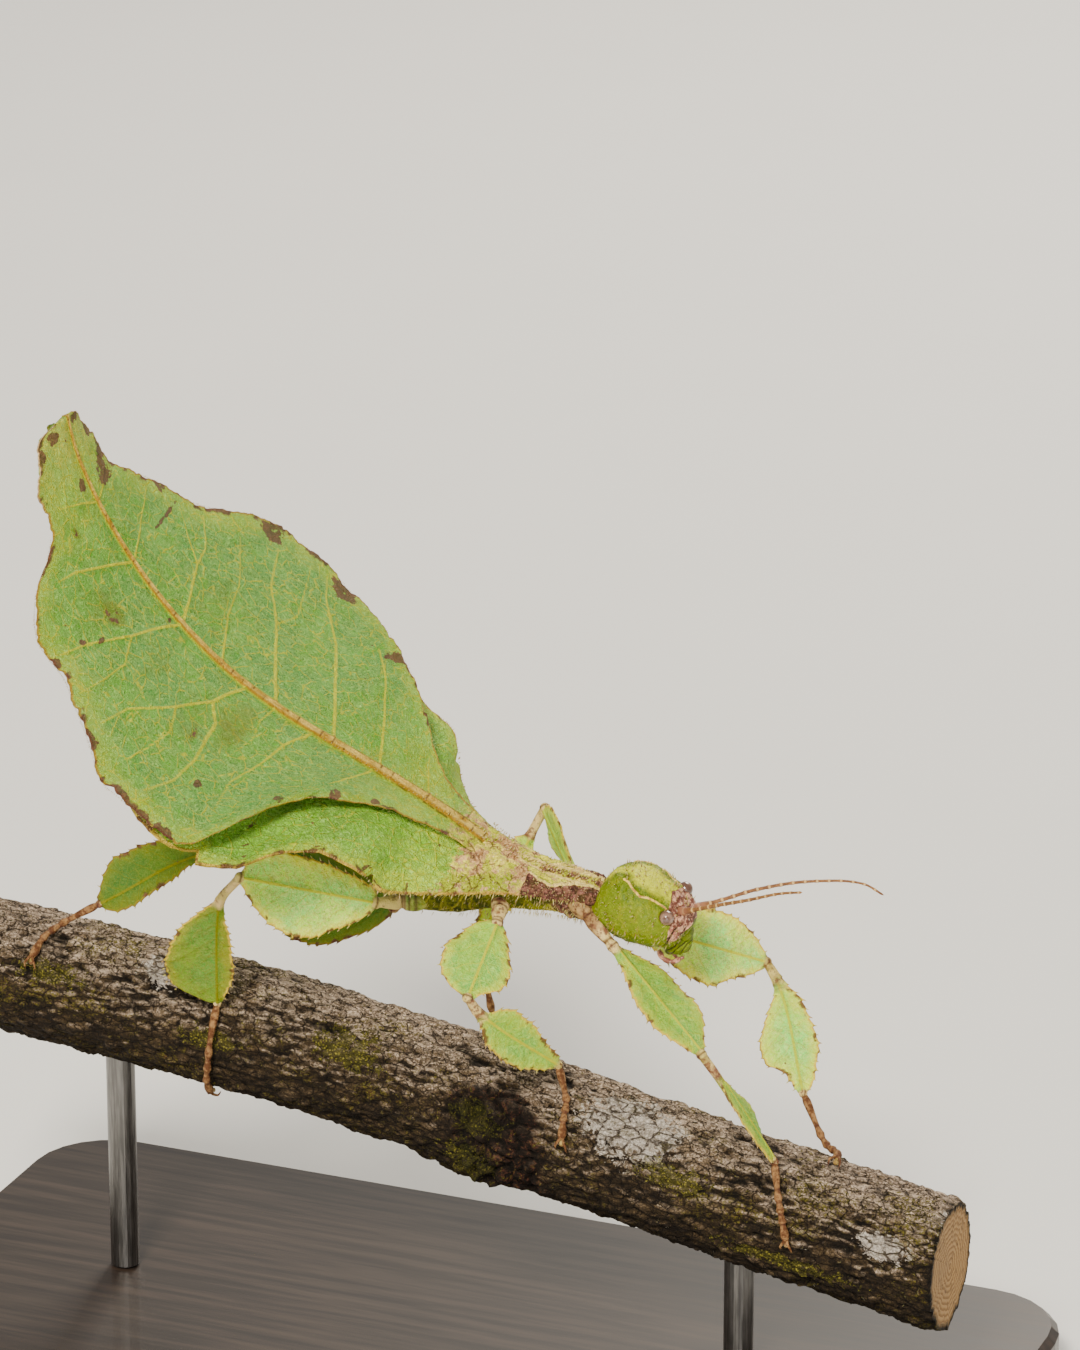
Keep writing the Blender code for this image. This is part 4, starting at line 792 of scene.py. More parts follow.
def trunk_finish(name):
    """Trunk skin: patterned thorax, green lobes and keel."""
    finish = Finish(name, 0.55, gloss=0.15)
    along, across, margin = finish.attribute("leaf").parts()
    under, brown, thorax = finish.attribute("marks").parts()
    mauve, spindle, ridge = finish.attribute("tint").parts()
    broad, middle, fine, ragged = finish.clouds((5.0, 2.0), (1.4, 3.0), (0.3, 3.0, 0.65), (0.7, 4.0, 0.65))
    finish.base((0.17, 0.40, 0.006), GREEN_DEEP, broad.ramp(0.4, 0.6))
    finish.lay(GREEN_DARK, (fine + middle * 0.5).ramp(0.72, 0.98) * 0.6)
    warm = margin.ramp(3.0, 0.2) * 0.9 + middle.swing(1.3) + along.ramp(18.0, 9.0) * 0.6
    finish.lay(GREEN_YELLOW, warm.ramp(0.1, 0.95) * 0.8)
    tangle = finish.threads(0.55, 0.09)
    curls = finish.threads(0.27, 0.10)
    finish.lay(WOOL, (tangle * 0.6).most(curls * 0.42) * (0.5 + middle))
    flat = finish.warped(0.9, 0.14, finish.attribute("leaf"))
    lines = finish.net(1.6, on=flat).ramp(0.05, 0.012)
    finish.lay(VEIN_YELLOW, lines * ragged.ramp(0.42, 0.56) * 0.55)
    front = thorax_colours(finish, along, across, middle, fine)
    finish.lay(front, (thorax + ragged.swing(2.0)).ramp(0.4, 0.6))
    grains = finish.net(0.4, "F1")
    dark = finish.mix((0.055, 0.016, 0.013), (0.25, 0.095, 0.075),
                      (ragged + fine.swing(0.5)).ramp(0.42, 0.6))
    dark = finish.mix(dark, (0.75, 0.52, 0.42), grains.ramp(0.18, 0.08) * fine.ramp(0.45, 0.5) * 0.8)
    finish.lay(dark, (mauve + ragged.swing(1.5)).ramp(0.46, 0.54) * 0.95)
    finish.lay((0.95, 0.72, 0.22), (ridge + ragged.swing(0.8)).ramp(0.35, 0.55) * 0.9)
    finish.lay((0.32, 0.40, 0.01), spindle.ramp(0.1, 0.4) * 0.9)
    finish.lay((0.86, 0.78, 0.06), spindle.ramp(0.6, 0.95) * 0.9)
    belly = finish.mix((0.20, 0.20, 0.008), (0.06, 0.075, 0.004), ragged.ramp(0.4, 0.6))
    belly = finish.mix(belly, (0.46, 0.40, 0.03), lines * 0.7)
    belly = finish.mix(belly, BROWN, fine.ramp(0.55, 0.65) * middle.ramp(0.5, 0.6) * 0.6)
    finish.lay(belly, under)
    finish.lay((0.60, 0.36, 0.05), margin.ramp(0.34, 0.16) * (1.0 - mauve) * 0.8)
    specks = finish.speckle(0.8, 1.7).ramp(0.52, 0.6)
    spots = specks * (margin + ragged * 1.2).ramp(1.3, 0.95)
    stain = (brown + ragged.swing(1.2)).ramp(0.45, 0.6)
    dark = finish.mix(BROWN, MAUVE, fine.ramp(0.35, 0.65))
    freckle = finish.dots(2.2, 0.08, 0.05) * middle.ramp(0.48, 0.54)
    finish.lay(dark, spots.most(stain, freckle) * 0.85)
    height = tangle * 0.7 + fine * 0.8 + lines * 0.6 + middle * 0.7 + grains * thorax * 0.9
    return finish.done(0.5 + 0.2 * fine, height, 0.2, 0.95)


def head_finish(name):
    """Head: olive and yellow-green wool, a tan ridge, a mauve face and dark cheek lines."""
    finish = Finish(name, 0.42, gloss=0.2)
    ridge, cheek, face = finish.attribute("marks").parts()
    crown, fold, flush = finish.attribute("tint").parts()
    broad, middle, fine = finish.clouds((2.6, 3.0), (0.9, 4.0, 0.6), (0.22, 3.0, 0.65))
    finish.base((0.135, 0.19, 0.001), (0.085, 0.14, 0.0015), broad.ramp(0.42, 0.58))
    finish.lay((0.23, 0.24, 0.001), middle.ramp(0.48, 0.66) * 0.7)
    # the crown above the ridge laid with bright yellow: partly the head's own yellow, partly painted light
    # from above
    finish.lay((0.70, 0.72, 0.02), (crown + middle.swing(0.9)).ramp(0.3, 0.85) * 0.85)
    tangle = finish.threads(0.5, 0.08)
    finish.lay((0.50, 0.54, 0.025), tangle * (0.24 + 0.3 * crown))
    finish.lay((0.05, 0.08, 0.002), (fine + middle * 0.6).ramp(0.84, 1.08) * 0.4)
    skin = finish.mix((0.72, 0.38, 0.24), (0.17, 0.055, 0.035),
                      finish.cloud(0.6, 4.0, 0.6).ramp(0.42, 0.56))
    knobs = finish.net(0.55, "F1")
    # pale knob tops on the face: partly their own pale colour, partly a painted highlight on the raised
    # bumps
    skin = finish.mix(skin, (0.88, 0.64, 0.46), knobs.ramp(0.28, 0.12) * 0.7)
    skin = finish.mix(skin, (0.025, 0.010, 0.008), finish.net(0.95).ramp(0.05, 0.01) * 0.6)
    finish.lay(skin, (face + middle.swing(1.0)).ramp(0.44, 0.56))
    finish.lay((0.46, 0.17, 0.12), flush * 0.8)
    tan = finish.mix((0.92, 0.62, 0.12), (0.34, 0.13, 0.03), finish.cloud(0.5).ramp(0.52, 0.62) * 0.8)
    finish.lay(tan, ridge.ramp(0.3, 0.65) * 0.95)
    finish.lay((0.02, 0.010, 0.004), cheek.ramp(0.35, 0.75) * 0.92)
    finish.lay((0.035, 0.03, 0.005), fold.ramp(0.4, 0.8) * 0.9)
    height = tangle * 0.3 + fine * 0.4 + middle * 0.7 + knobs * face * -1.6 - fold * 0.8
    return finish.done(0.34 + 0.2 * fine, height, 0.12, 0.85)


def feeler_finish(name):
    """Antenna: brown joints with pale rings, by distance along it."""
    finish = Finish(name, 0.5)
    along = finish.attribute("leaf").parts()[0]
    beat = (along / ANTENNA_JOINT).maths("FRACT")
    ring = abs(beat - 0.5).ramp(0.36, 0.46)
    finish.base((0.17, 0.065, 0.020), (0.28, 0.12, 0.035), finish.cloud(0.6).ramp(0.4, 0.6))
    finish.lay((0.70, 0.46, 0.18), ring * 0.85)
    finish.lay((0.30, 0.12, 0.07), along.ramp(2.4, 1.2) * 0.7)
    return finish.done(None, finish.cloud(0.2), 0.04)


def eye_finish(name):
    """Eye: a glossy pinkish-brown bead with faint facets, a dark ring and a darker middle."""
    finish = Finish(name, 0.12, 0.8)
    look = finish.attribute("leaf").parts()[0]
    facets = finish.net(0.1, "F1")
    finish.base((0.14, 0.070, 0.045), (0.34, 0.20, 0.14), look.ramp(0.3, 0.75))
    finish.lay((0.10, 0.045, 0.030), look.ramp(0.8, 0.93) * 0.85)
    finish.lay((0.12, 0.060, 0.040), look.ramp(0.3, 0.05))
    finish.lay((0.09, 0.045, 0.03), facets.ramp(0.35, 0.6) * 0.4)
    return finish.done(None, facets, 0.012, 0.5)


def bark_finish(name):
    """Bark: dark flakes and fissures, greyer on top, with moss, lichen crusts and a rusty, mossy knot; the
    paler grey top is partly painted light, and painted shade darkens the cracks, the hollows and the
    underside.
    """
    finish = Finish(name, 0.85, gloss=0.2)
    lichen, moss, knot = finish.attribute("marks").parts()
    wood, scar, relief = finish.attribute("leaf").parts()
    flow = finish.stretch((0.55, 1.0, 1.0))
    broad = finish.cloud(5.0, 4.0, 0.6, on=flow)
    plates = finish.cloud(1.3, 6.0, 0.7, on=flow)
    fine, crumbs = finish.clouds((0.25, 5.0, 0.7), (0.8, 5.0, 0.7, 0.6))
    bent = finish.warped(0.6, 0.35, flow)
    flakes, seams = finish.net(0.6, "F1", bent), finish.net(0.6, on=bent)
    chinks = finish.net(0.3, on=finish.warped(0.3, 0.2))
    furrows = finish.cloud(0.7, 4.0, 0.6, on=finish.stretch((0.22, 1.0, 1.0)))
    up = finish.node("ShaderNodeSeparateXYZ", {}, {0: finish.node("ShaderNodeNewGeometry", {}, {}, 1)}, 2)
    finish.base((0.014, 0.009, 0.005), (0.088, 0.056, 0.025), (plates + fine.swing(0.4)).ramp(0.36, 0.64))
    finish.lay((0.12, 0.055, 0.016), broad.ramp(0.52, 0.62) * crumbs.ramp(0.46, 0.62) * 0.7)
    # partly the bark's own grey and partly painted light from above: the upper side, found from the surface
    # normal, is laid with pale grey
    grey = finish.mix((0.80, 0.61, 0.45), (0.17, 0.115, 0.072),
                      (fine * 0.6 + plates * 0.5).ramp(0.46, 0.64))
    painted_top_light = (up * 1.1 + plates * 0.9 + relief * 0.5 + crumbs.swing(1.4)).ramp(0.95, 1.9)
    finish.lay(grey, painted_top_light * 0.95)
    # pale chips on the raised flakes, their own colour, laid more strongly on the upper side as painted
    # light
    chips_and_top_light = (relief + fine.swing(1.2) + plates.swing(1.0)).ramp(0.66, 0.95)
    finish.lay((0.24, 0.165, 0.095), chips_and_top_light * (0.3 + 0.35 * up.ramp(-0.4, 0.8)))
    green = (crumbs * 0.7 + broad * 0.7).ramp(0.71, 0.83) * fine.ramp(0.44, 0.56)
    finish.lay((0.17, 0.145, 0.016), green * 0.85)
    # dark cracks in furrows, seams and chinks: partly the bark's own dark fissures, partly painted shade in
    # them
    finish.lay(CRACK_DARK, furrows.ramp(0.44, 0.37) * 0.5)
    finish.lay(CRACK_DARK, seams.ramp(0.09, 0.01) * fine.ramp(0.36, 0.5) * 0.8)
    finish.lay(CRACK_DARK, chinks.ramp(0.09, 0.01) * plates.ramp(0.40, 0.56) * 0.6)
    # painted shade: darker where the relief is low
    finish.lay(SHADE_DARK, (relief + fine.swing(0.6)).ramp(0.44, 0.12) * 0.6)
    # painted shade: the underside of the branch darker
    finish.lay(SHADE_DARK, up.ramp(0.45, -0.6) * 0.62)
    rusty = finish.mix((0.010, 0.005, 0.003), (0.10, 0.032, 0.018), crumbs.ramp(0.50, 0.64))
    rusty = finish.mix(rusty, (0.16, 0.15, 0.015), (crumbs + fine * 0.5).ramp(0.86, 0.94) * 0.8)
    finish.lay(rusty, knot * 0.92)
    # painted shade: darkest in the deepest hollows of the relief
    finish.lay((0.006, 0.004, 0.002), (relief + fine.swing(0.4)).ramp(0.30, 0.02) * 0.9)
    crust = finish.mix((0.40, 0.34, 0.28), (0.76, 0.68, 0.60), (fine * 0.7 + crumbs * 0.5).ramp(0.54, 0.70))
    crust = finish.mix(crust, (0.05, 0.032, 0.02), seams.ramp(0.15, 0.03) * plates.ramp(0.38, 0.52) * 0.9)
    crust = finish.mix(crust, (0.10, 0.08, 0.03), (crumbs * 0.6 + plates * 0.6).ramp(0.63, 0.71) * 0.75)
    finish.lay(crust, (lichen + crumbs.swing(3.0) + fine.swing(0.6)).ramp(0.48, 0.62) * 0.92)
    tufts = finish.mix((0.36, 0.31, 0.035), (0.07, 0.062, 0.007), finish.dots(0.28, 0.1, 0.5))
    tufts = finish.mix(tufts, (0.028, 0.030, 0.004), knot * (0.5 + 0.5 * fine.ramp(0.60, 0.46)) * 0.9)
    finish.lay(tufts, (moss + crumbs.swing(3.4) + fine.swing(1.6)).ramp(0.62, 0.8) * 0.8)
    rings = (scar * 1.6 + finish.cloud(3.0) * 0.8).maths("FRACT")
    cut = finish.mix((0.42, 0.26, 0.11), (0.24, 0.13, 0.05), rings.ramp(0.3, 0.8))
    cut = finish.mix(cut, (0.11, 0.06, 0.03), finish.cloud(1.0, 4.0).ramp(0.52, 0.7) * 0.6)
    finish.lay(cut, wood)
    height = plates * 0.9 + crumbs * 0.7 + fine * 0.5 + furrows * 0.6 - flakes * 0.9
    height = height + seams.ramp(0.0, 0.08) * 0.5 + chinks.ramp(0.0, 0.1) * 0.25
    height = height * (1.0 - wood) + rings * wood * 0.2
    return finish.done(0.66 + 0.25 * fine, height, 0.5, 1.0)


def stand_finish(name):
    """Stand: dark stained wood with a satin varnish."""
    finish = Finish(name, 0.4, 0.25)
    grain_lines = finish.cloud(1.2, 4.0, 0.6, on=finish.stretch((0.06, 1.0, 1.0)))
    broad = finish.cloud(9.0, 2.0, on=finish.stretch((0.1, 1.0, 1.0)))
    finish.base((0.018, 0.012, 0.009), (0.05, 0.032, 0.022), grain_lines.ramp(0.35, 0.7))
    finish.lay((0.03, 0.02, 0.014), broad * 0.5)
    return finish.done(0.34 + 0.16 * grain_lines, grain_lines, 0.03, 0.4)


def rod_finish(name):
    """Rods: brushed dark steel."""
    finish = Finish(name, 0.35)
    finish.shader.inputs["Metallic"].default_value = 1.0
    brush = finish.cloud(1.5, 3.0, on=finish.stretch((6.0, 6.0, 0.4)))
    finish.base((0.16, 0.155, 0.15), (0.26, 0.25, 0.24), brush.ramp(0.35, 0.65))
    return finish.done(0.25 + 0.2 * brush, brush, 0.01, 0.3)


def plain_finish(name, colour, roughness):
    finish = Finish(name, roughness)
    finish.base(colour, tuple(value * 1.03 for value in colour), finish.cloud(40.0, 2.0))
    return finish.done()


# Leaf coordinates
BACK_X, BACK_U = measured(BACK_LINE, BACK_ZERO)


def body_point(along, up, right):
    along, up, right = [np.asarray(value, float)[..., None] for value in (along, up, right)]
    return np.array([0.0, 0.0, BODY_HEIGHT]) + along * ALONG + up * UPWARD + right * RIGHTWARD


def leaf_point(s, across, droop, depth):
    """Point of the leaf at a distance along and across it, at a depth below its upper surface."""
    forward = smooth(BACK_X, s + 0.5) - smooth(BACK_X, s - 0.5)
    upward = smooth(BACK_U, s + 0.5) - smooth(BACK_U, s - 0.5)
    length = np.hypot(forward, upward)
    normal = (upward / length)[..., None] * ALONG - (forward / length)[..., None] * UPWARD
    centre = body_point(smooth(BACK_X, s), smooth(BACK_U, s), np.zeros_like(s))
    reach = np.abs(across)
    angle = np.radians(droop)
    bent = np.maximum(reach - DROOP_START, 0.0)
    crown = CAMBER * reach * (1 - reach / CAMBER_REACH)
    ripple = RIPPLE_HEIGHT * np.sin(2 * math.pi * s / RIPPLE_LENGTH) * (reach / CAMBER_REACH) ** 2
    out = (np.sign(across) * (reach - bent + bent * np.cos(angle)))[..., None]
    return centre + out * RIGHTWARD + (crown + ripple - depth - bent * np.sin(angle))[..., None] * normal


def slant(s):
    share = np.clip((s - ABDOMEN_START) / (LEAF_TIP - ABDOMEN_START), 0.0, 1.0) ** VEIN_SLANT_SKEW
    return VEIN_SLANT * np.sin(math.pi * share) ** 2


def flange_half(s, side):
    front = smooth(FLANGE_HALF, s)
    rear = np.maximum(smooth(WING_HALF[side], s) - FLANGE_INSET, 0.6)
    return np.where(s <= FLANGE_HALF[-1][0], front, rear)


def flange_droop(s):
    last, level = FLANGE_DROOP[-1]
    rear = np.maximum(smooth(WING_DROOP, s), level * np.exp(-np.maximum(s - last, 0.0) / 4))
    return np.where(s < last, smooth(FLANGE_DROOP, s), rear)


def vein_relief(s, across, side):
    """Height and strength of the main veins, their ladder of cross veinlets between them."""
    strength = np.zeros(np.shape(s))
    for line, width in VEINS[side]:
        gap, share = line_distance(s, across, line)
        strength = np.maximum(strength, bell(gap, width) * (1 - 0.45 * share))
        span = np.hypot(line[-1][0] - line[0][0], line[-1][1] - line[0][1])
        beat = share * span / LADDER_STEP + 0.12 * gap + 0.25 * np.sin(3.1 * share * span)
        rung = LADDER_STRENGTH * bell((beat - np.rint(beat)) * LADDER_STEP, LADDER_HALF)
        rung = rung * bell(gap, LADDER_REACH) * fade(gap, 0.0, 0.5)
        strength = np.maximum(strength, rung * (share > 0.02) * (share < 0.98))
    return strength


def blotch_masks(s, across, side):
    """Brown and olive masks of one side's blotches."""
    masks = {"brown": np.zeros(np.shape(s)), "olive": np.zeros(np.shape(s))}
    for kind, spots in BLOTCHES.items():
        for which, at, out, long, wide in spots:
            if which == side:
                gap = np.hypot((s - at) / long, (across - out) / wide)
                for mask, strength, edge, full in BLOTCH_KINDS[kind]:
                    masks[mask] = np.maximum(masks[mask], strength * fade(gap, edge, full))
    return masks["brown"], masks["olive"]


def ragged_margin(s, side):
    """Small waves and nicks of the leaf's margin."""
    wave = 0.10 * np.sin(1.9 * s + side) + 0.08 * np.sin(4.3 * s + 2 * side) + 0.05 * np.sin(9.7 * s)
    nick = np.maximum(np.sin(0.83 * s + 1.3 * side), 0.0) ** 12
    return wave - 0.12 - 0.35 * nick * np.maximum(np.sin(6.1 * s), 0.0)


def make_wing(name, side):
    """Forewing as one thin leaf: raised midrib, main veins with their ladders, and a ragged margin."""
    s = np.linspace(WING_START, LEAF_TIP, WING_ROWS)[:, None]
    margin = np.minimum(s + slant(s), LEAF_TIP)
    half = smooth(WING_HALF[side], margin) + ragged_margin(margin, side) * fade(margin, 9.0, 14.0)
    half = half * (0.55 + 0.45 * fade(s, WING_START, 7.4))
    spread = np.linspace(0.0, 1.0, WING_COLUMNS) ** 1.12
    back = np.linspace(1.0, 0.0, WING_UNDER_COLUMNS)
    share = np.concatenate([spread, back])[None, :]
    upper = (np.arange(share.shape[1]) < WING_COLUMNS)[None, :]
    across = 0.03 + (half - 0.03) * share
    place = s + (margin - s) * share
    rib_half = smooth(MIDRIB_HALF, place)
    rib = MIDRIB_HEIGHT * bell(across - 0.3 * rib_half, 0.62 * rib_half)
    rib = rib * smooth([(5.4, 0.3), (9.0, 1.0), (40.0, 0.9), (68.0, 0.45)], place)
    vein = vein_relief(place, across, side)
    edge = half - across
    flat = together(place, across * side, np.zeros_like(place))
    swell = grain(flat, 2.6, 3.7 + side, 3) * 0.14 * fade(edge, 0.0, 1.5) * fade(across, 0.4, 1.5)
    curl = 0.16 * np.sin(1.15 * margin + 2.0 * side) * fall(edge, 0.0, 2.6)
    thick = 0.1 + 0.28 * fade(edge, 0.0, 1.2)
    curl = curl - 0.3 * (side > 0) * fall(edge, 0.0, 2.4) * fall(margin, 27.0, 31.0)
    sunk = -0.55 * fall(place, WING_START + 0.2, 7.0) - 0.3 * fall(edge, 0.0, 0.8) * fall(place, 7.0, 9.0)
    face = rib + VEIN_HEIGHT * vein * fade(edge, 0.0, 0.6)
    back = -thick - 0.5 * VEIN_HEIGHT * vein - 0.6 * rib
    height = np.where(upper, face, back) + swell + curl * fade(place, 14.0, 20.0) + sunk
    points = leaf_point(place, side * across, smooth(WING_DROOP, place), -height)
    points[..., 2] = np.minimum(points[..., 2], CAD_BOX[1][2] / MM - TIP_ROOM)
    brown, olive = blotch_masks(place, across, side)
    fields = {"leaf": together(place, across * side, edge + 0 * place),
              "marks": together(vein, brown, olive)}
    return weave(name, points, fields)


def catmull(points, count):
    """Smooth line through each row of control points, sampled evenly between them."""
    before = points[:, :1] * 2 - points[:, 1:2]
    beyond = points[:, -1:] * 2 - points[:, -2:-1]
    ahead = np.concatenate([before, points, beyond], axis=1)
    at = np.linspace(0.0, points.shape[1] - 1.0001, count)
    index = at.astype(int)
    t = (at - index)[None, :, None]
    a, b, c, d = [ahead[:, index + step] for step in range(4)]
    return b + 0.5 * t * (c - a + t * (2 * a - 5 * b + 4 * c - d + t * (3 * (b - c) + d - a)))


def make_trunk():
    """Trunk skin from the neck to the tip of the abdomen: thin side lobes and a keel below."""
    s = np.concatenate([np.linspace(NECK - 0.5, 14.0, 200), np.linspace(14.3, ABDOMEN_END, 160)])
    top = PLATE_TOP * fade(s, *THORAX_BLEND)
    under = top + PLATE_THICKNESS
    bottom = np.maximum(smooth(KEEL_DEPTH, s) - 0.6 * fade(s, -4.0, -2.5) * fall(s, 3.5, 6.0), under + 0.4)
    drop = bottom - under
    margin = s + slant(s)
    flanks = []
    for side in (1, -1):
        half = flange_half(margin, side)
        wave = 0.06 * np.sin(5.1 * margin + side) + 0.05 * np.sin(11.3 * margin)
        half = half + (wave - 0.08) * fade(s, NECK, NECK + 1) - 1.3 * fade(margin, 33.0, 42.0)
        half = half - 1.1 * bell(margin - 13.7, 0.32)
        half = np.maximum(half, 0.6)
        keel = smooth(KEEL_HALF, s)
        keel = np.where(half > 1.6, np.minimum(keel, half - 0.8), half * 0.5)
        rim = top + 0.42
        line = [(0 * s, top), (0.2 * half, top), (0.55 * half, top + 0.02), (0.85 * half, top + 0.12),
                (half - 0.08, rim - 0.06), (half, rim + 0.06), (half - 0.08, rim + 0.18),
                (0.8 * half + 0.2 * keel, rim + 0.32), (0.5 * half + 0.5 * keel, under - 0.12),
                (keel + 0.25, under + 0.12 * drop), (keel, under + 0.4 * drop),
                (0.92 * keel, under + 0.75 * drop), (0.5 * keel, under + 0.96 * drop), (0 * s, bottom)]
        line = np.stack([np.stack(pair, axis=-1) for pair in line], axis=1)
        flanks.append(catmull(line, 92))
    right, left = flanks
    left = left[:, ::-1] * np.array([-1.0, 1.0])
    outline = np.concatenate([right, left[:, 1:-1]], axis=1)
    across = outline[..., 0]
    depth = outline[..., 1]
    reach = np.abs(across)
    half = np.where(across >= 0, flange_half(margin, 1)[:, None], flange_half(margin, -1)[:, None])
    wing = np.where(across >= 0, smooth(WING_HALF[1], s)[:, None], smooth(WING_HALF[-1], s)[:, None])
    place = s[:, None] + (margin - s)[:, None] * np.minimum(reach / half, 1.0)
    below = fade(depth - under[:, None], -0.15, 0.25)
    upper = fall(depth - top[:, None], 0.3, 0.6)
    front = fall(s, 6.0, 9.5)[:, None] * np.ones_like(across)
    outside = fade(reach, wing - 0.2, wing + 1.0) * fall(depth - under[:, None], 0.0, 1.5)
    depth = depth + outside * (PLATE_TOP * fade(s, 1.0, 11.0) - top)[:, None]
    lifted = fade(reach, wing - 4.0, wing - 1.0) * fall(reach, wing + 2.5, wing + 7.0) * (across > 0)
    lifted = lifted * (fade(s, 8.5, 11.0) * fall(s, 29.0, 33.0))[:, None]
    depth = depth - 0.52 * lifted * fall(depth - under[:, None], -0.4, 0.0)
    ridge = bell(reach - smooth(RIDGE_LINE, place), 0.2) * fall(place, 2.0, 4.0)
    ridge = np.maximum(ridge, bell(reach - smooth(FLANK_LINE, place), 0.18) * fall(place, 0.9, 1.3))
    ridge = ridge * upper
    gap, share = line_distance(place, reach, SPINDLE)
    spindle = fade(gap / (0.16 + 0.3 * np.sin(math.pi * np.clip(share, 0.0, 1.0))), 1.25, 0.7) * upper
    mauve = fade(reach - smooth(FLANK_LINE, place), 0.08, 0.3) * fall(place, 0.9, 1.4)
    mauve = np.maximum(mauve, 0.55 * fall(reach, 0.35, 0.5) * fall(place, -0.5, 1.5) * upper)
    mauve = np.maximum(mauve, below * fall(place, -3.2, -0.6))
    carina = 0.2 * bell(reach, 0.26) * upper * front
    fold = 0.16 * bell(reach - 0.8 - 0.12 * np.maximum(s[:, None], 0), 0.22) * upper * front
    fold = fold * fade(s, 0.5, 2.5)[:, None]
    groove = -0.2 * bell(s[:, None] - 0.0, 0.22)
    knobs = grain(together(place, across, depth), 0.5, 9.1, 2) * (0.05 + 0.08 * front + 0.08 * mauve)
    swell = grain(together(place, across, depth * 0), 2.2, 4.4, 3) * 0.16 * upper * fade(reach, 0.5, 2.0)
    rise = carina + fold + 0.16 * ridge + 0.12 * spindle + groove * (0.4 + 0.6 * upper) * front
    rise = rise + knobs + swell
    segments = -0.14 * bell((place + 2.0) % 6.2 - 3.1, 0.2) * below * (1 - front)
    points = leaf_point(place, across, flange_droop(place), depth)
    centre = leaf_point(place, across * 0.0, flange_droop(place), depth)
    push = unit(points - centre + 1e-9) * below[..., None]
    normal = leaf_point(place, across, flange_droop(place), depth - 1.0) - points
    points = points + normal * (rise * (1 - below))[..., None] + push * (knobs + segments)[..., None]
    edge = np.maximum(half - reach, 0.0) + 3.0 * below
    fold_at = 26.3 - 0.27 * (reach - 13.5) + 0.12 * np.sin(2.6 * reach)
    stain = bell(place - fold_at, 0.24) * fade(reach, 13.4, 14.0) * fall(reach, 21.5, 22.5)
    for crack in LOBE_CRACKS:
        stain = np.maximum(stain, bell(line_distance(place, reach, crack)[0], 0.12))
    stain = stain * (across > 0)
    fields = {"leaf": together(place, across, edge),
              "marks": together(below * fade(place, -2.6, -0.8), stain, front),
              "tint": together(mauve, spindle, ridge)}
    middle = points[0].mean(axis=0)
    throat = [middle + (points[0] - middle) * size + ALONG * ahead
              for size, ahead in ((0.62, 0.7), (0.88, 0.35))]
    return weave("body_skin", np.concatenate([throat, points]), padded(fields, 2, 0))


def head_place(x, angle, grow=0.0):
    """Point of the head's surface at a distance along and an angle round it, 90 degrees on top."""
    sections = np.array(HEAD_SECTIONS)
    top, bottom, half = [smooth(sections[:, [0, column]], x) for column in (1, 2, 3)]
    top = top - BROW_FALL * fade(x, 20.8, 24.2) * fall(x, 25.2, 26.2)
    brow = 0.5 * BROW_FALL * fade(x, 20.8, 24.2) * fall(x, 24.4, 25.2)
    half = half - brow * fade(np.sin(angle), 0.3, 0.9)
    middle = 0.5 * (top + bottom)
    height = 0.5 * (top - bottom) + grow
    return body_point(x, middle + height * np.sin(angle), (half + grow) * np.cos(angle))


def make_head():
    """Head capsule with its tan ridge, eye rims, cheek lines and wrinkled, bumpy face."""
    start = HEAD_SECTIONS[0][0] - 0.4
    end = HEAD_SECTIONS[-1][0]
    x = end - (end - start) * (1 - np.linspace(0.0, 1.0, HEAD_ROWS) ** 0.8)
    x, angle = grid(np.minimum(x, end), turns(HEAD_SIDES))
    degrees = (np.degrees(angle) + 90.0) % 360.0 - 90.0
    mirror = np.where(degrees > 90.0, 180.0 - degrees, degrees)
    scale = 0.065

    def near(line, width):
        return bell(line_distance(x, mirror * scale, [(a, b * scale) for a, b in line])[0], width)

    ridge = near(HEAD_RIDGE, 0.12)
    cheek = np.maximum(near(CHEEK_LINES[0], 0.11), 0.0)
    for line in CHEEK_LINES[1:]:
        cheek = np.maximum(cheek, near(line, 0.08))
    flush = near(FLUSH_LINE, 0.16)
    base = head_place(x, angle)
    along, up, right = EYE_PLACE
    rim = np.zeros(x.shape)
    socket = np.zeros(x.shape)
    for side in (1, -1):
        gap = np.linalg.norm(base - body_point(along, up, side * right), axis=-1)
        rim = np.maximum(rim, bell(gap - EYE_RADIUS - 0.16, 0.16))
        socket = np.maximum(socket, bell(gap - EYE_RADIUS + 0.05, 0.12))
    face = fade(x + 0.010 * np.abs(mirror - 20.0), 24.8, 25.4) * fade(mirror, -40.0, -20.0)
    # crown: the top above the ridge; it lowers the surface a little and carries the head's painted top
    # light
    crown = fade(mirror - smooth(HEAD_RIDGE, x), -4.0, 30.0)
    bumps = grain(base, 0.42, 5.0, 2)
    wool = grain(base, 1.3, 2.0, 3)
    folds = np.sin((mirror * 0.22 + 3.0 * (x - 20.0)) + 3.0 * wool) * fade(mirror, 30.0, 45.0)
    rise = (0.16 * ridge - 0.2 * cheek + 0.14 * rim + (0.05 + 0.18 * face) * bumps + 0.1 * wool
            - 0.12 * crown + 0.05 * folds)
    outward = unit(head_place(x, angle, 0.5) - base + 1e-9)
    points = base + rise[..., None] * outward
    nose = points[-1].mean(axis=0) + 0.25 * ALONG
    caps = [points[-1] + (nose - points[-1]) * t + ALONG * 0.12 * math.sin(math.pi * t)
            for t in (0.35, 0.7, 0.97)]
    neck = points[0].mean(axis=0)
    backs = [points[0] + (neck - points[0]) * t for t in (0.9, 0.45)]
    points = np.concatenate([backs, points, caps])
    fields = {"marks": together(ridge, np.maximum(cheek, 0.8 * socket), face),
              "tint": together(crown, 0 * crown, flush * face)}
    return weave("head_skin", points, padded(fields, 2, 3))


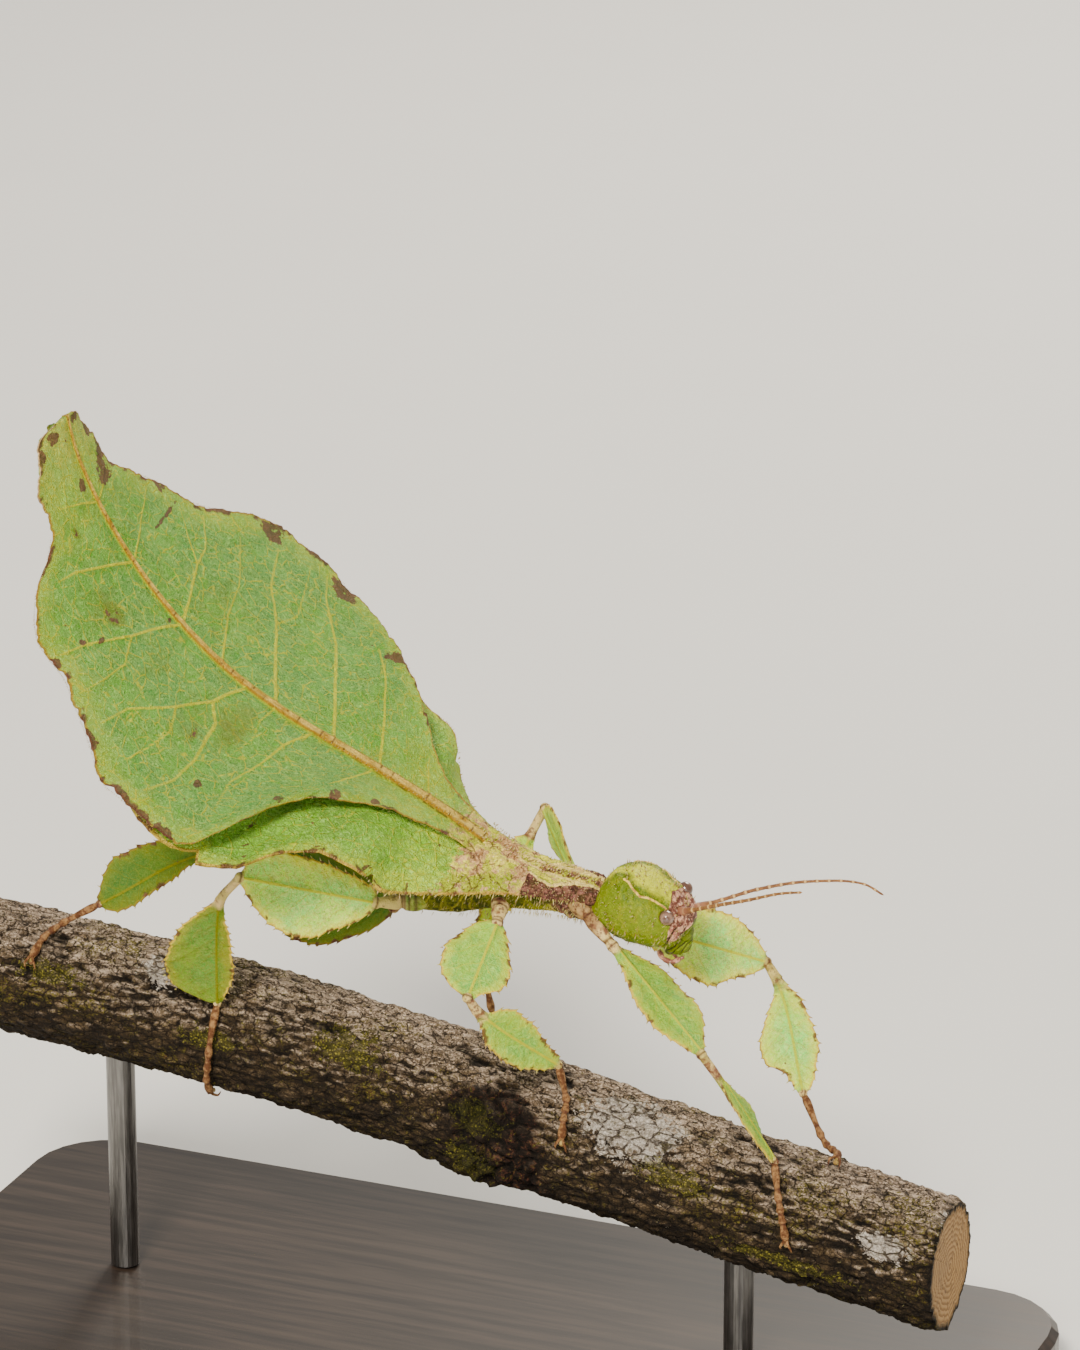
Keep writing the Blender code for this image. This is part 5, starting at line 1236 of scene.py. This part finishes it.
def make_eye(name, side):
    """Eye bead: a ball whose pole looks outwards, with its own height towards the pole."""
    along, up, right = EYE_PLACE
    centre = body_point(along, up, side * right)
    look = unit(0.35 * ALONG + 0.25 * UPWARD + side * RIGHTWARD)
    first = unit(np.cross(look, ALONG))
    second = np.cross(look, first)
    turn = np.linspace(0.02, math.pi - 0.02, 44)[:, None, None]
    angle = turns(56)[None, :, None]
    ball = np.cos(turn) * look + np.sin(turn) * (np.cos(angle) * first + np.sin(angle) * second)
    bulge = 1.0 + 0.05 * np.cos(turn) ** 3
    points = centre + EYE_RADIUS * bulge * ball
    field = np.repeat(np.cos(turn), angle.shape[1], axis=1)
    return weave(name, points, {"leaf": np.concatenate([field, field, field], axis=-1)})


def blob(name, centre, sizes, turn=0.0, bumps=0.0, seed=0.0, folds=(), face=0.0):
    """Soft ellipsoid, its long way tipped forwards by a turn, with dark folds round that way."""
    forward = math.cos(turn) * ALONG + math.sin(turn) * UPWARD
    upward = math.cos(turn) * UPWARD - math.sin(turn) * ALONG
    pole, angle = grid(np.linspace(0.03, math.pi - 0.03, 64), turns(64))
    ball = (sizes[0] * np.cos(pole)[..., None] * forward
            + sizes[1] * (np.sin(pole) * np.sin(angle))[..., None] * upward
            + sizes[2] * (np.sin(pole) * np.cos(angle))[..., None] * RIGHTWARD)
    noise_here = grain(centre + ball, 0.5, seed, 2)
    dark = np.zeros_like(pole)
    for place in folds:
        wander = 0.06 * np.sin(3 * angle + 7 * place) + 0.08 * noise_here
        dark = np.maximum(dark, bell(pole - place - wander, 0.055))
    points = centre + ball + unit(ball) * (bumps * noise_here - 0.13 * dark)[..., None]
    zero = np.zeros_like(pole)
    return weave(name, points, {"marks": together(zero, zero, zero + face),
                                "tint": together(zero, dark, zero)})


def palp(name, line, radius, face):
    """Jointed feeler of the mouth."""
    points, at = along_line(line, 36)
    beat = np.abs(np.sin(at / at[-1] * math.pi * 3))
    radii = radius * (0.72 + 0.35 * beat) * (1 - 0.25 * at / at[-1])
    radii[-1] *= 0.3
    marks = np.zeros((36, 12, 3))
    marks[..., 2] = face
    marks[..., 1] = fall(beat, 0.0, 0.25)[:, None] * 0.6
    return tube(name, points, radii, 12, {"marks": marks, "tint": np.array([0.0, 0.0, 0.35]) + 0 * marks})


def make_mouth():
    """Mouthparts: upper lip, jaws, lower lip and two pairs of palps."""
    items = [blob("muzzle", body_point(24.4, 0.85, 0.0), (1.8, 1.6, 1.7), -0.75, 0.07, 1.0,
                  (0.42, 0.78, 1.12, 1.45)),
             blob("lip", body_point(25.5, 1.7, 0.0), (0.85, 0.7, 1.15), -1.1, 0.05, 2.0, (0.7,)),
             blob("lower_lip", body_point(24.0, -0.5, 0.0), (0.9, 0.5, 0.9), 0.3, 0.04, 3.0,
                  (0.8, 1.5), 0.4)]
    for side in (1, -1):
        items.append(palp("palp", [body_point(*spot) for spot in (
            (23.0, -0.1, side * 1.3), (23.6, -0.8, side * 1.6), (24.4, -1.05, side * 1.5),
            (25.2, -0.9, side * 1.1))], 0.3, 1.0))
        items.append(palp("palp", [body_point(*spot) for spot in (
            (24.2, -0.7, side * 0.5), (24.8, -1.1, side * 0.75), (25.4, -0.95, side * 0.6))], 0.2, 0.9))
    return fuse("mouth_skin", items)


def make_antenna(name, line):
    points, at = along_line(line, 200)
    beat = at / ANTENNA_JOINT
    swell = bell((beat - np.rint(beat)) * ANTENNA_JOINT, 0.16)
    radii = smooth(ANTENNA_RADII, at) * (1 + 0.28 * swell)
    radii[-3:] *= [0.85, 0.6, 0.25]
    field = np.repeat(at[:, None], 14, axis=1)
    return tube(name, points, radii, 14, {"leaf": np.stack([field] * 3, axis=-1)})


# Legs
def branch_radius(x, angle):
    knot = KNOT_HEIGHT * bell(x - KNOT_X, KNOT_LENGTH) * (0.6 - 0.4 * np.sin(angle))
    furrow = np.sin(3 * angle + 0.12 * x) + 0.7 * np.sin(5 * angle - 0.2 * x)
    return BRANCH_RADIUS + knot + 0.1 * furrow


def branch_point(x, angle, height):
    """Point at a height above the bark; an angle of 0 faces the viewer and a quarter turn is on top."""
    reach = (branch_radius(x, angle) + height)[..., None]
    centre = together(x, np.full_like(x, BRANCH_Y), smooth(BRANCH_LINE, x))
    ring = together(np.zeros_like(angle), -np.cos(angle), np.sin(angle))
    return centre + reach * ring


def on_branch(x, degrees, height):
    return branch_point(np.array([float(x)]), np.array([math.radians(degrees)]), height)[0]


def half_turn(degrees):
    """The same angle, from -180 to 180 degrees."""
    return (degrees + 180.0) % 360.0 - 180.0


def bark_patches(x, degrees, spots):
    """Soft mask of patches given by their place along and round the branch and their half sizes."""
    mask = np.zeros_like(x)
    for at, out, long, wide in spots:
        mask = np.maximum(mask, fade(np.hypot((x - at) / long, half_turn(degrees - out) / wide), 1.5, 0.2))
    return mask


def lobed_segment(name, line, lobes, scales, rib, face, seed, thorns, mark=0.0):
    """Leg segment with a rib and a thin, toothed lobe on each side; each tooth bears a thorn."""
    points, at = along_line(line, LIMB_ROWS)
    share = at / at[-1]
    ahead = unit(np.gradient(points, axis=0))
    across = unit(np.cross(face, ahead))
    outward = np.cross(ahead, across)
    rib = np.linspace(rib[0], rib[1], LIMB_ROWS)
    flanks = []
    for index, sign in ((0, 1.0), (1, -1.0)):
        width = scales[index] * smooth(lobes[index], share)
        blade = fade(width / rib, 1.0, 2.2)
        pitch = at / 0.92 + seed + 0.5 * index
        tooth = (pitch % 1.0) ** 1.5 * (0.2 + 0.1 * np.sin(pitch * 2.3 + seed))
        tooth = tooth + 0.06 * np.sin(at * 1.3 + seed)
        width = np.maximum(width, rib) + (tooth - 0.08) * blade
        tips = np.nonzero((np.diff(np.floor(pitch)) > 0) & (blade[:-1] > 0.5))[0]
        for tip in tips:
            rim = points[tip] + sign * (width[tip] - 0.08) * across[tip]
            long = 0.3 + 0.12 * math.sin(9.0 * tip + seed)
            thorns.append((rim, sign * across[tip] + 0.55 * ahead[tip], long))
        t = np.linspace(0.0, 1.0, LIMB_EDGE)[None, :] ** 0.9
        reach = width[:, None] * t
        core = rib[:, None] * np.sqrt(np.maximum(1 - (reach / rib[:, None]) ** 2, 0.0))
        hump = 0.5 * rib[:, None] * bell(reach, 0.5 * rib[:, None])
        edge = width[:, None] - reach
        thin = LOBE_HALF_RIM + (LOBE_HALF_THICKNESS - LOBE_HALF_RIM) * fade(edge, 0.0, 1.0)
        flat = hump + thin * (1 - 0.6 * t ** 12)
        height = core * (1 - blade[:, None]) + flat * blade[:, None]
        slope = at[:, None] - 0.9 * reach
        ridge = bell((((slope / 2.1 + seed) % 1.0) - 0.5) * 2.1, 0.16)
        height = height + 0.06 * ridge * blade[:, None] * fade(reach, 0.4, 0.9) * fade(edge, 0.1, 0.5)
        flanks.append((sign * reach, height, edge + (1 - blade)[:, None] * 2.0))
    (a, _, _), (b, _, _) = flanks
    x, y, edge = [np.concatenate([first, below * first[:, ::-1][:, 1:], below * second[:, 1:],
                                  second[:, ::-1][:, 1:-1]], axis=1)
                  for (first, second), below in zip(zip(*flanks), (1, -1, 1))]
    blade = fade(np.abs(x) / rib[:, None], 0.8, 2.5)
    curl = 0.018 * x ** 2 * np.sin(share * 2.6 * math.pi + seed)[:, None]
    curl = curl + blade * 0.1 * grain(together(at[:, None] + 0 * x, x, 0 * x), 1.4, seed, 2)
    shape = points[:, None] + x[..., None] * across[:, None] + (y + curl)[..., None] * outward[:, None]
    width = np.maximum(a.max(axis=1), -b.min(axis=1))
    stalk = fall(width / rib, 1.3, 2.6)
    joint = np.maximum(bell(at, 0.3), bell(at - at[-1], 0.25))
    one = np.ones_like(x)
    marks = together(stalk[:, None] * one, joint[:, None] * 0.6 * one, 0 * one)
    leaf = together(at[:, None] * one + mark, x, edge)
    return weave(name, shape, {"leaf": leaf, "marks": marks})


def stalk_tube(name, line, table, sides, stalk, tarsus, rings):
    """Round limb part with radii from a table over its length and dark rings at its joints."""
    points, at = along_line(line, STALK_ROWS)
    share = at / at[-1]
    dark = np.zeros_like(at)
    for place in rings:
        dark = np.maximum(dark, bell((share - place) * at[-1], 0.13))
    rows = at[:, None] * np.ones((1, sides))
    leaf = together(rows, 2.0, 5.0)
    marks = together(stalk + 0 * rows, dark[:, None], tarsus)
    return tube(name, points, smooth(table, share), sides, {"leaf": leaf, "marks": marks})


def make_leg(name, seed, thorns):
    """One leg as a single skin: coxa and stalk, lobed femur and tibia, jointed foot, claws and pad."""
    leg = dict(zip(LEG_COLUMNS, LEGS[name]))
    kind = name.split("_")[0]
    hip, knuckle, knee, bend, ankle = [np.array(leg[joint]) for joint in LEG_COLUMNS[:5]]
    foot = [on_branch(x, degrees, TARSUS_RADIUS + BRANCH_ROOM - 0.2) for x, degrees in leg["foot"]]
    root = hip + 0.6 * COXA_ROOT * unit(hip - knuckle)
    inner = np.array([root[0] + 0.5 * (hip - knuckle)[0], 0.25 * root[1], root[2] + 0.9])
    lengths = [np.linalg.norm(end - start) for start, end in ((inner, root), (root, hip), (hip, knuckle))]
    steps = np.cumsum(lengths)
    hip_at, rest = steps[1] / steps[2], 1 - steps[1] / steps[2]
    radii = [(0.0, 0.8), (steps[0] / steps[2], 1.02)]
    radii += [(hip_at + past * rest, radius) for past, radius in COXA_RADII] + [(1.0, 0.58)]
    down = np.linspace(0.0, 1.0, STALK_ROWS)[:, None]
    if kind == "hind":
        bare = fade(down, hip_at - 0.02, hip_at + 0.02)
        sunk = 0.55 * (1 - bare)
        rings = (hip_at - 0.13, hip_at - 0.05, hip_at + 0.02, hip_at + 0.12 * rest)
    else:
        clear = hip_at + (0.3 * rest if kind == "front" else -0.15)
        bare, sunk = 1.0, 0.8 * fall(down, clear, clear + 0.2)
        rings = (hip_at + 0.12 * rest, hip_at + 0.85 * rest)
    items = [stalk_tube("coxa", [inner, root, hip, knuckle], radii, 24, bare, sunk, rings)]
    for part, line, lobes, rib, turn, mark in (
            ("femur", [knuckle, knee], FEMUR_LOBES, (FEMUR_RIB - 0.08, KNEE_RADIUS - 0.04), 0.0, 0.0),
            ("tibia", [knee, bend, ankle], TIBIA_LOBES, (KNEE_RADIUS - 0.05, ANKLE_RADIUS - 0.04), 0.4,
             TIBIA_MARK)):
        items.append(lobed_segment(part, line, lobes[kind], leg[part + "_scale"], rib,
                                   np.array(leg[part + "_face"]), seed + turn, thorns, mark))
    pole = unit(knee - knuckle)
    for spot, radius in ((knuckle, 0.62), (knee, 0.54), (ankle, 0.44)):
        table = [(place, share * radius) for place, share in JOINT_RADII]
        line = [spot - pole * radius, spot, spot + pole * radius]
        items.append(stalk_tube("joint", line, table, 18, 1.0, 0.0, (0.5,)))
    beads = []
    for start in (0.0, *BEAD_ENDS):
        beads += [(start, 0.28), (start + 0.04, 0.32), (start + 0.1, 0.42)]
    beads += [(0.93, 0.44), (1.0, 0.24)]
    items.append(stalk_tube("tarsus", [ankle, *foot], beads, 16, 0.0, 1.0, BEAD_ENDS))
    (_, before), (x, degrees) = leg["foot"][-2:]
    onward = math.copysign(1.0, degrees - before)
    for turn in (-1, 1):
        line = [on_branch(x + across * turn, degrees + past * onward, height + 0.1)
                for across, past, height in CLAW_PATH]
        items.append(stalk_tube("claw", line, CLAW_RADII, 10, 0.0, 1.0, (0.9,)))
    pad = [on_branch(x, degrees + past * onward, height) for past, height in PAD_PATH]
    items.append(stalk_tube("pad", pad, PAD_RADII, 14, 1.0, 0.3, ()))
    return fuse("leg_skin_" + name, items)


# Branch
def flake_field(points, size, seed):
    """Bark flakes: 1 at the middle of each and 0 between, and a tilt that lifts one side of each flake."""
    flat = points.reshape(-1, 3) / size + seed
    middle, tilt = [], []
    for point in flat:
        gaps, places = noise.voronoi(Vector(point))
        turn = 40.0 * (places[0][0] + places[0][1] - places[0][2])
        off = Vector(point) - places[0]
        middle.append(min((gaps[1] - gaps[0]) * 2.2, 1.0))
        tilt.append(off[0] * math.sin(turn) + off[1] * math.cos(turn) + off[2] * math.cos(1.7 * turn))
    return [np.array(values).reshape(points.shape[:-1]) for values in (middle, tilt)]


def make_branch():
    """Branch with flaking bark, a knot, lichen crusts and moss, and sawn ends."""
    start = BRANCH_LINE[0][0]
    end = BRANCH_LINE[-1][0]
    x, angle = grid(np.linspace(start, end, BARK_ROWS), turns(BARK_SIDES))
    degrees = np.degrees(angle)
    round_way = [BRANCH_RADIUS * np.cos(angle), BRANCH_RADIUS * np.sin(angle)]
    ring = together(x * 0.5, *round_way)
    flow = together(x * 0.2, *round_way)
    plates = grain(ring, 3.0, 1.0, 4)
    ridges = 1 - 3.0 * np.abs(grain(flow, 1.6, 6.0, 4))
    crumbs = grain(ring, 0.95, 12.0, 3)
    flakes, tilt = flake_field(ring, 0.9, 4.0)
    knobs, _ = flake_field(together(x, *round_way), 2.1, 9.0)
    knot_gap = np.hypot((x - 7.2) / 5.2, half_turn(degrees + 6.0) / 56.0)
    knot = fade(knot_gap + 0.25 * grain(ring, 2.5, 8.0, 3), 1.2, 0.8)
    eye_gap = np.hypot(x - 5.3, BRANCH_RADIUS * np.radians(half_turn(degrees - 24.0)))
    collar = bell(eye_gap - 1.35, 0.4)
    lumps = grain(ring, 1.2, 3.0, 3)
    lichen = bark_patches(x, degrees, LICHEN_SPOTS)
    moss = bark_patches(x, degrees, MOSS_SPOTS)
    tufts = grain(ring, 0.5, 20.0, 2)
    skin = 0.14 * flakes + 0.22 * tilt + 0.12 * ridges + 0.12 * crumbs
    gnarl = 1.15 * knobs ** 0.6 - 0.6 + 0.45 * lumps + 0.55 * collar - 1.0 * bell(eye_gap, 0.75)
    height = -0.28 + 0.17 * plates + skin * (1 - knot) + gnarl * knot
    height = height + 0.12 * fade(lichen + 0.8 * crumbs, 0.3, 0.6) * (1 - knot) + moss * 0.2 * tufts
    height = np.clip(height, -1.3, 0.42 + 0.2 * knot)
    seat = fade(x, start, start + 1.2) * fall(x, end - 1.2, end)
    height = height - 0.25 * (1 - seat)
    points = branch_point(x, angle, height)
    shares = np.linspace(0.03, 0.999, 26)
    reach = (1 - shares)[:, None] * BRANCH_RADIUS * np.ones((1, BARK_SIDES))
    field = together(fade(reach, BRANCH_RADIUS * 0.97, BRANCH_RADIUS * 0.9), reach, 0.5)
    ends = []
    for edge, outward in ((points[0], -1.0), (points[-1], 1.0)):
        caps = np.array([edge + (edge.mean(axis=0) - edge) * share for share in shares])
        ends.append(caps + 0.05 * grain(caps, 1.2, 4.0, 2)[..., None] * ALONG * outward)
    bark = together(np.zeros_like(x), 0.0, np.clip((height + 0.62) / 0.8, 0.0, 1.0))
    marks = together(lichen * (1 - knot), moss, knot)
    fields = {"leaf": np.concatenate([field[::-1], bark, field]),
              "marks": np.concatenate([0 * field, marks, 0 * field])}
    return weave("branch_bark", np.concatenate([ends[0][::-1], points, ends[1]]), fields)


# Bristles
def bristle_mesh(name, bristles):
    """Three-sided tapering bristles joined in one mesh, each a small patch of the bake map.

    Each bristle is its root, way, length, radius and place on the map.
    """
    roots, ways, lengths, radii, maps = [np.array(values, float) for values in zip(*bristles)]
    count = len(roots)
    ways = unit(ways)
    lengths = lengths[:, None]
    radii = radii[:, None]
    guess = np.where(np.abs(ways[:, 2:]) < 0.9, [[0.0, 0.0, 1.0]], [[1.0, 0.0, 0.0]])
    first = unit(np.cross(ways, guess))
    second = np.cross(ways, first)
    corners = []
    for step, wide in ((0.0, 1.0), (0.6, 0.55)):
        for turn in range(3):
            angle = 2 * math.pi * turn / 3
            ring = math.cos(angle) * first + math.sin(angle) * second
            corners.append(roots + ways * lengths * step + ring * radii * wide)
    corners.append(roots + ways * lengths)
    points = np.stack(corners, axis=1).reshape(-1, 3) * MM
    pattern = [(0, 2, 1)]
    for turn in range(3):
        after = (turn + 1) % 3
        pattern += [(turn, after, 3 + after), (turn, 3 + after, 3 + turn), (3 + turn, 3 + after, 6)]
    pattern = np.array(pattern)
    faces = (pattern[None] + 7 * np.arange(count)[:, None, None]).reshape(-1, 3)
    mesh = bpy.data.meshes.new(name)
    mesh.from_pydata(points.tolist(), [], faces.tolist())
    item = bpy.data.objects.new(name, mesh)
    bpy.context.scene.collection.objects.link(item)
    tip = np.tile([0.0] * 3 + [0.5] * 3 + [1.0], count)
    attribute = mesh.attributes.new("leaf", "FLOAT_VECTOR", "POINT")
    attribute.data.foreach_set("vector", np.stack([tip] * 3, axis=-1).ravel())
    layer = mesh.uv_layers.new(name="OFBake")
    spots = np.repeat(maps, len(pattern) * 3, axis=0)
    corner = np.tile(MAP_PATCH * np.array([(0.0, 0.0), (1.0, 0.0), (0.5, 1.0)]), (count * len(pattern), 1))
    layer.data.foreach_set("uv", (0.02 + 0.95 * spots + corner).ravel())
    mesh.shade_smooth()
    return item


def scatter(draw, amount):
    return np.array([draw.uniform(-amount, amount) for _ in range(3)])


def trunk_map(side, half, s):
    return (0.5 + 0.45 * side * half / 24.0, (s + 6.0) / 74.0)


def trunk_bristles(draw):
    """Spines and hairs along the edges, ridges and flanks of the trunk."""
    bristles = []

    def grow(side, s, reach, depth, way, length, radius, spread):
        droop = flange_droop(s)
        root = leaf_point(s, side * reach, droop, depth)
        rise = leaf_point(s, side * reach, droop, depth - 1.0) - root
        out = leaf_point(s, side * (reach + 0.5), droop, depth) - root
        aim_at = way[0] * unit(out) + way[1] * unit(rise) + way[2] * ALONG + scatter(draw, spread)
        bristles.append((root, aim_at, length, radius, trunk_map(side, reach, s)))

    for side in (1, -1):
        for index, s in enumerate(np.arange(NECK + 0.2, 27.0, 0.26)):
            s = s + draw.uniform(-0.08, 0.08)
            top = PLATE_TOP * fade(s, 1.0, 11.0) + 0.42
            big = index % 4 == 0 and s < 14
            long = (0.75 if big else 0.42 if s < 14 else 0.3) * draw.uniform(0.7, 1.2)
            grow(side, s, flange_half(s, side) - 0.15, top, (1.0, 0.1, 0.1), long,
                 0.11 if big else 0.05, 0.3)
        for s in np.arange(NECK, 8.0, 0.36):
            s = s + draw.uniform(-0.1, 0.1)
            grow(side, s, draw.uniform(0.1, 0.45), -0.1, (0.3, 1.0, 0.3), draw.uniform(0.3, 0.62), 0.1,
                 0.25)
            grow(side, s, smooth(FLANK_LINE, s) if s < 1.5 else 0.95 + 0.12 * s, 0.0, (0.4, 1.0, 0.2),
                 draw.uniform(0.2, 0.42), 0.08, 0.3)
        for _ in range(TOP_HAIRS):
            s = draw.uniform(NECK + 0.2, 7.0)
            share = draw.uniform(0.05, 0.97)
            grow(side, s, flange_half(s, side) * share, 0.05 + 0.3 * share ** 3, (0.2, 1.0, 0.1),
                 draw.uniform(0.12, 0.32), draw.uniform(0.04, 0.075), 0.5)
        for _ in range(KEEL_HAIRS):
            s = draw.uniform(NECK + 0.4, 17.0)
            under = PLATE_TOP * fade(s, *THORAX_BLEND) + PLATE_THICKNESS
            share = draw.uniform(0.1, 0.98)
            keel = smooth(KEEL_HALF, s) * (1.0 if share < 0.7 else 1.0 - (share - 0.7) * 1.5)
            grow(side, s, keel * 0.96, under + share * (smooth(KEEL_DEPTH, s) - under),
                 (1.0, -1.2 * share, 0.0), draw.uniform(0.25, 0.6), 0.045, 0.5)
    return bristle_mesh("trunk_bristles", bristles)


def wing_bristles(draw):
    """Fine hairs round the margins of the wings and spines along the base of the midrib."""
    bristles = []
    for side in (1, -1):
        for s in np.arange(9.0, 57.5, 0.16):
            s = s + draw.uniform(-0.05, 0.05)
            margin = np.minimum(s + slant(s), LEAF_TIP - 0.3)
            half = smooth(WING_HALF[side], margin) - 0.12
            droop = smooth(WING_DROOP, margin)
            root = leaf_point(margin, side * half, droop, 0.15)
            out = root - leaf_point(margin, side * (half - 0.5), droop, 0.15)
            long = draw.uniform(0.2, 0.42) if draw.random() < 0.15 else draw.uniform(0.14, 0.26)
            way = unit(out) + scatter(draw, 0.35)
            bristles.append((root, way, long, 0.035, trunk_map(side, half, margin)))
        for s in np.arange(7.0, 26.0, 0.5):
            s = s + draw.uniform(-0.15, 0.15)
            reach = side * draw.uniform(0.5, 0.75)
            root = leaf_point(s, reach, 0.0, -0.25)
            rise = leaf_point(s, reach, 0.0, -1.25) - root
            long = draw.uniform(0.2, 0.4) * (1.0 if s < 14 else 0.55)
            bristles.append((root, rise + scatter(draw, 0.4), long, 0.06, trunk_map(side, reach, s)))
    return bristle_mesh("wing_bristles", bristles)


def head_bristles(draw):
    """Fine bristles over the crown and face, a few of them taller."""
    bristles = []
    for _ in range(HEAD_HAIRS):
        x = draw.uniform(17.2, 26.0)
        angle = draw.uniform(-0.9, math.pi + 0.9)
        root = head_place(x, angle, -0.04)
        out = unit(head_place(x, angle, 0.5) - root)
        tall = draw.random() < 0.12
        long = draw.uniform(0.42, 0.7) if tall else draw.uniform(0.16, 0.34)
        bristles.append((root, out + scatter(draw, 0.4), long, 0.075 if tall else 0.032,
                         ((x - 16.0) / 11.0, (angle + 1.0) / 5.3)))
    return bristle_mesh("head_bristles", bristles)


def limb_bristles(draw, thorns):
    """One thorn on each tooth of the leg lobes."""
    bristles = []
    for index, (root, way, length) in enumerate(thorns):
        spot = ((index % 24) / 24.0, (index // 24) / 24.0 % 1.0)
        bristles.append((root, unit(way) + scatter(draw, 0.2), length, 0.09, spot))
    return bristle_mesh("limb_thorns", bristles)


def bristle_finish(name):
    finish = Finish(name, 0.5, gloss=0.3)
    tip = finish.attribute("leaf").parts()[0]
    finish.base((0.50, 0.44, 0.10), (0.42, 0.24, 0.10), finish.cloud(0.9).ramp(0.45, 0.6))
    finish.lay((0.80, 0.66, 0.36), tip.ramp(0.2, 0.9) * 0.8)
    return finish.done()


# Scene
def make_insect():
    draw = random.Random(11)
    leaf = leaf_finish("leaf_wing")
    head = head_finish("head_wool")
    thorns = []
    dress(make_trunk(), trunk_finish("trunk_hide"),
          ["prothorax", "mesothorax", "metathorax", "abdomen"])
    dress(make_wing("wing_leaf_right", 1), leaf, ["forewing_right"])
    dress(make_wing("wing_leaf_left", -1), leaf, ["forewing_left"])
    dress(make_head(), head, ["head"])
    dress(make_mouth(), head, ["mouthparts"])
    eye = eye_finish("eye_bead")
    feeler = feeler_finish("feeler_rings")
    for name, side in (("right", 1), ("left", -1)):
        dress(make_eye("eye_bead_" + name, side), eye, ["eye_" + name])
        dress(make_antenna("feeler_" + name, ANTENNA_LINES[name]), feeler,
              ["antenna_" + name])
    for index, name in enumerate(LEGS):
        kind, side = name.split("_")
        nodes = [f"{kind}_{part}_{side}" for part in ("coxa", "femur", "tibia", "tarsus")]
        limb = limb_finish("leg_lobes_" + name, *LEG_TONES[name])
        dress(make_leg(name, 0.37 * index, thorns), limb, nodes)
    bristle = bristle_finish("bristle_pale")
    dress(trunk_bristles(draw), bristle)
    dress(wing_bristles(draw), bristle)
    dress(head_bristles(draw), bristle)
    dress(limb_bristles(draw, thorns), bristle)


def make_perch():
    dress(make_branch(), bark_finish("branch_bark"), ["perch_branch"])
    wood, steel = stand_finish("stand_wood"), rod_finish("rod_steel")
    for name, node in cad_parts.items():
        if name.startswith("stand_"):
            node.data.materials.clear()
            node.data.materials.append(wood if name == "stand_base" else steel)


def make_floor():
    deselect()
    bpy.ops.mesh.primitive_plane_add(size=FLOOR_SIZE, location=(0.0, FLOOR_BACK, 0.0))
    floor = bpy.context.active_object
    floor.name = "floor"
    bpy.ops.object.transform_apply(location=True, rotation=True, scale=True)
    floor.data.materials.append(plain_finish("floor_paper", PAPER, 0.9))


def aim(item, target):
    item.rotation_mode = "QUATERNION"
    item.rotation_quaternion = (Vector(target) - item.location).to_track_quat("-Z", "Y")


def make_lights():
    world = bpy.data.worlds.new("studio")
    bpy.context.scene.world = world
    world.use_nodes = True
    sky = world.node_tree.nodes["Background"].inputs
    sky["Color"].default_value = SKY_TINT
    sky["Strength"].default_value = SKY_STRENGTH
    for name, (place, size, power, tint) in LAMPS.items():
        light = bpy.data.lights.new(name, "AREA")
        light.size = size
        light.energy = power
        light.color = tint
        lamp = bpy.data.objects.new(name, light)
        bpy.context.scene.collection.objects.link(lamp)
        lamp.location = place
        aim(lamp, LAMP_TARGET)


def make_camera():
    across = np.array([math.cos(VIEW_AZIMUTH), math.sin(VIEW_AZIMUTH), 0.0])
    level = math.cos(VIEW_HEIGHT)
    back = np.array([across[1] * level, -across[0] * level, math.sin(VIEW_HEIGHT)])
    target = VIEW_POINT + VIEW_RISE * np.cross(back, across)
    camera = bpy.data.objects.new("camera", bpy.data.cameras.new("camera"))
    bpy.context.scene.collection.objects.link(camera)
    camera.data.lens = VIEW_LENS
    camera.data.sensor_width = 36.0
    camera.data.clip_start = 0.01
    camera.data.clip_end = 20.0
    camera.location = (target + VIEW_DISTANCE * back) * MM
    aim(camera, target * MM)
    bpy.context.scene.camera = camera


make_camera()
make_lights()
make_floor()
make_perch()
make_insect()
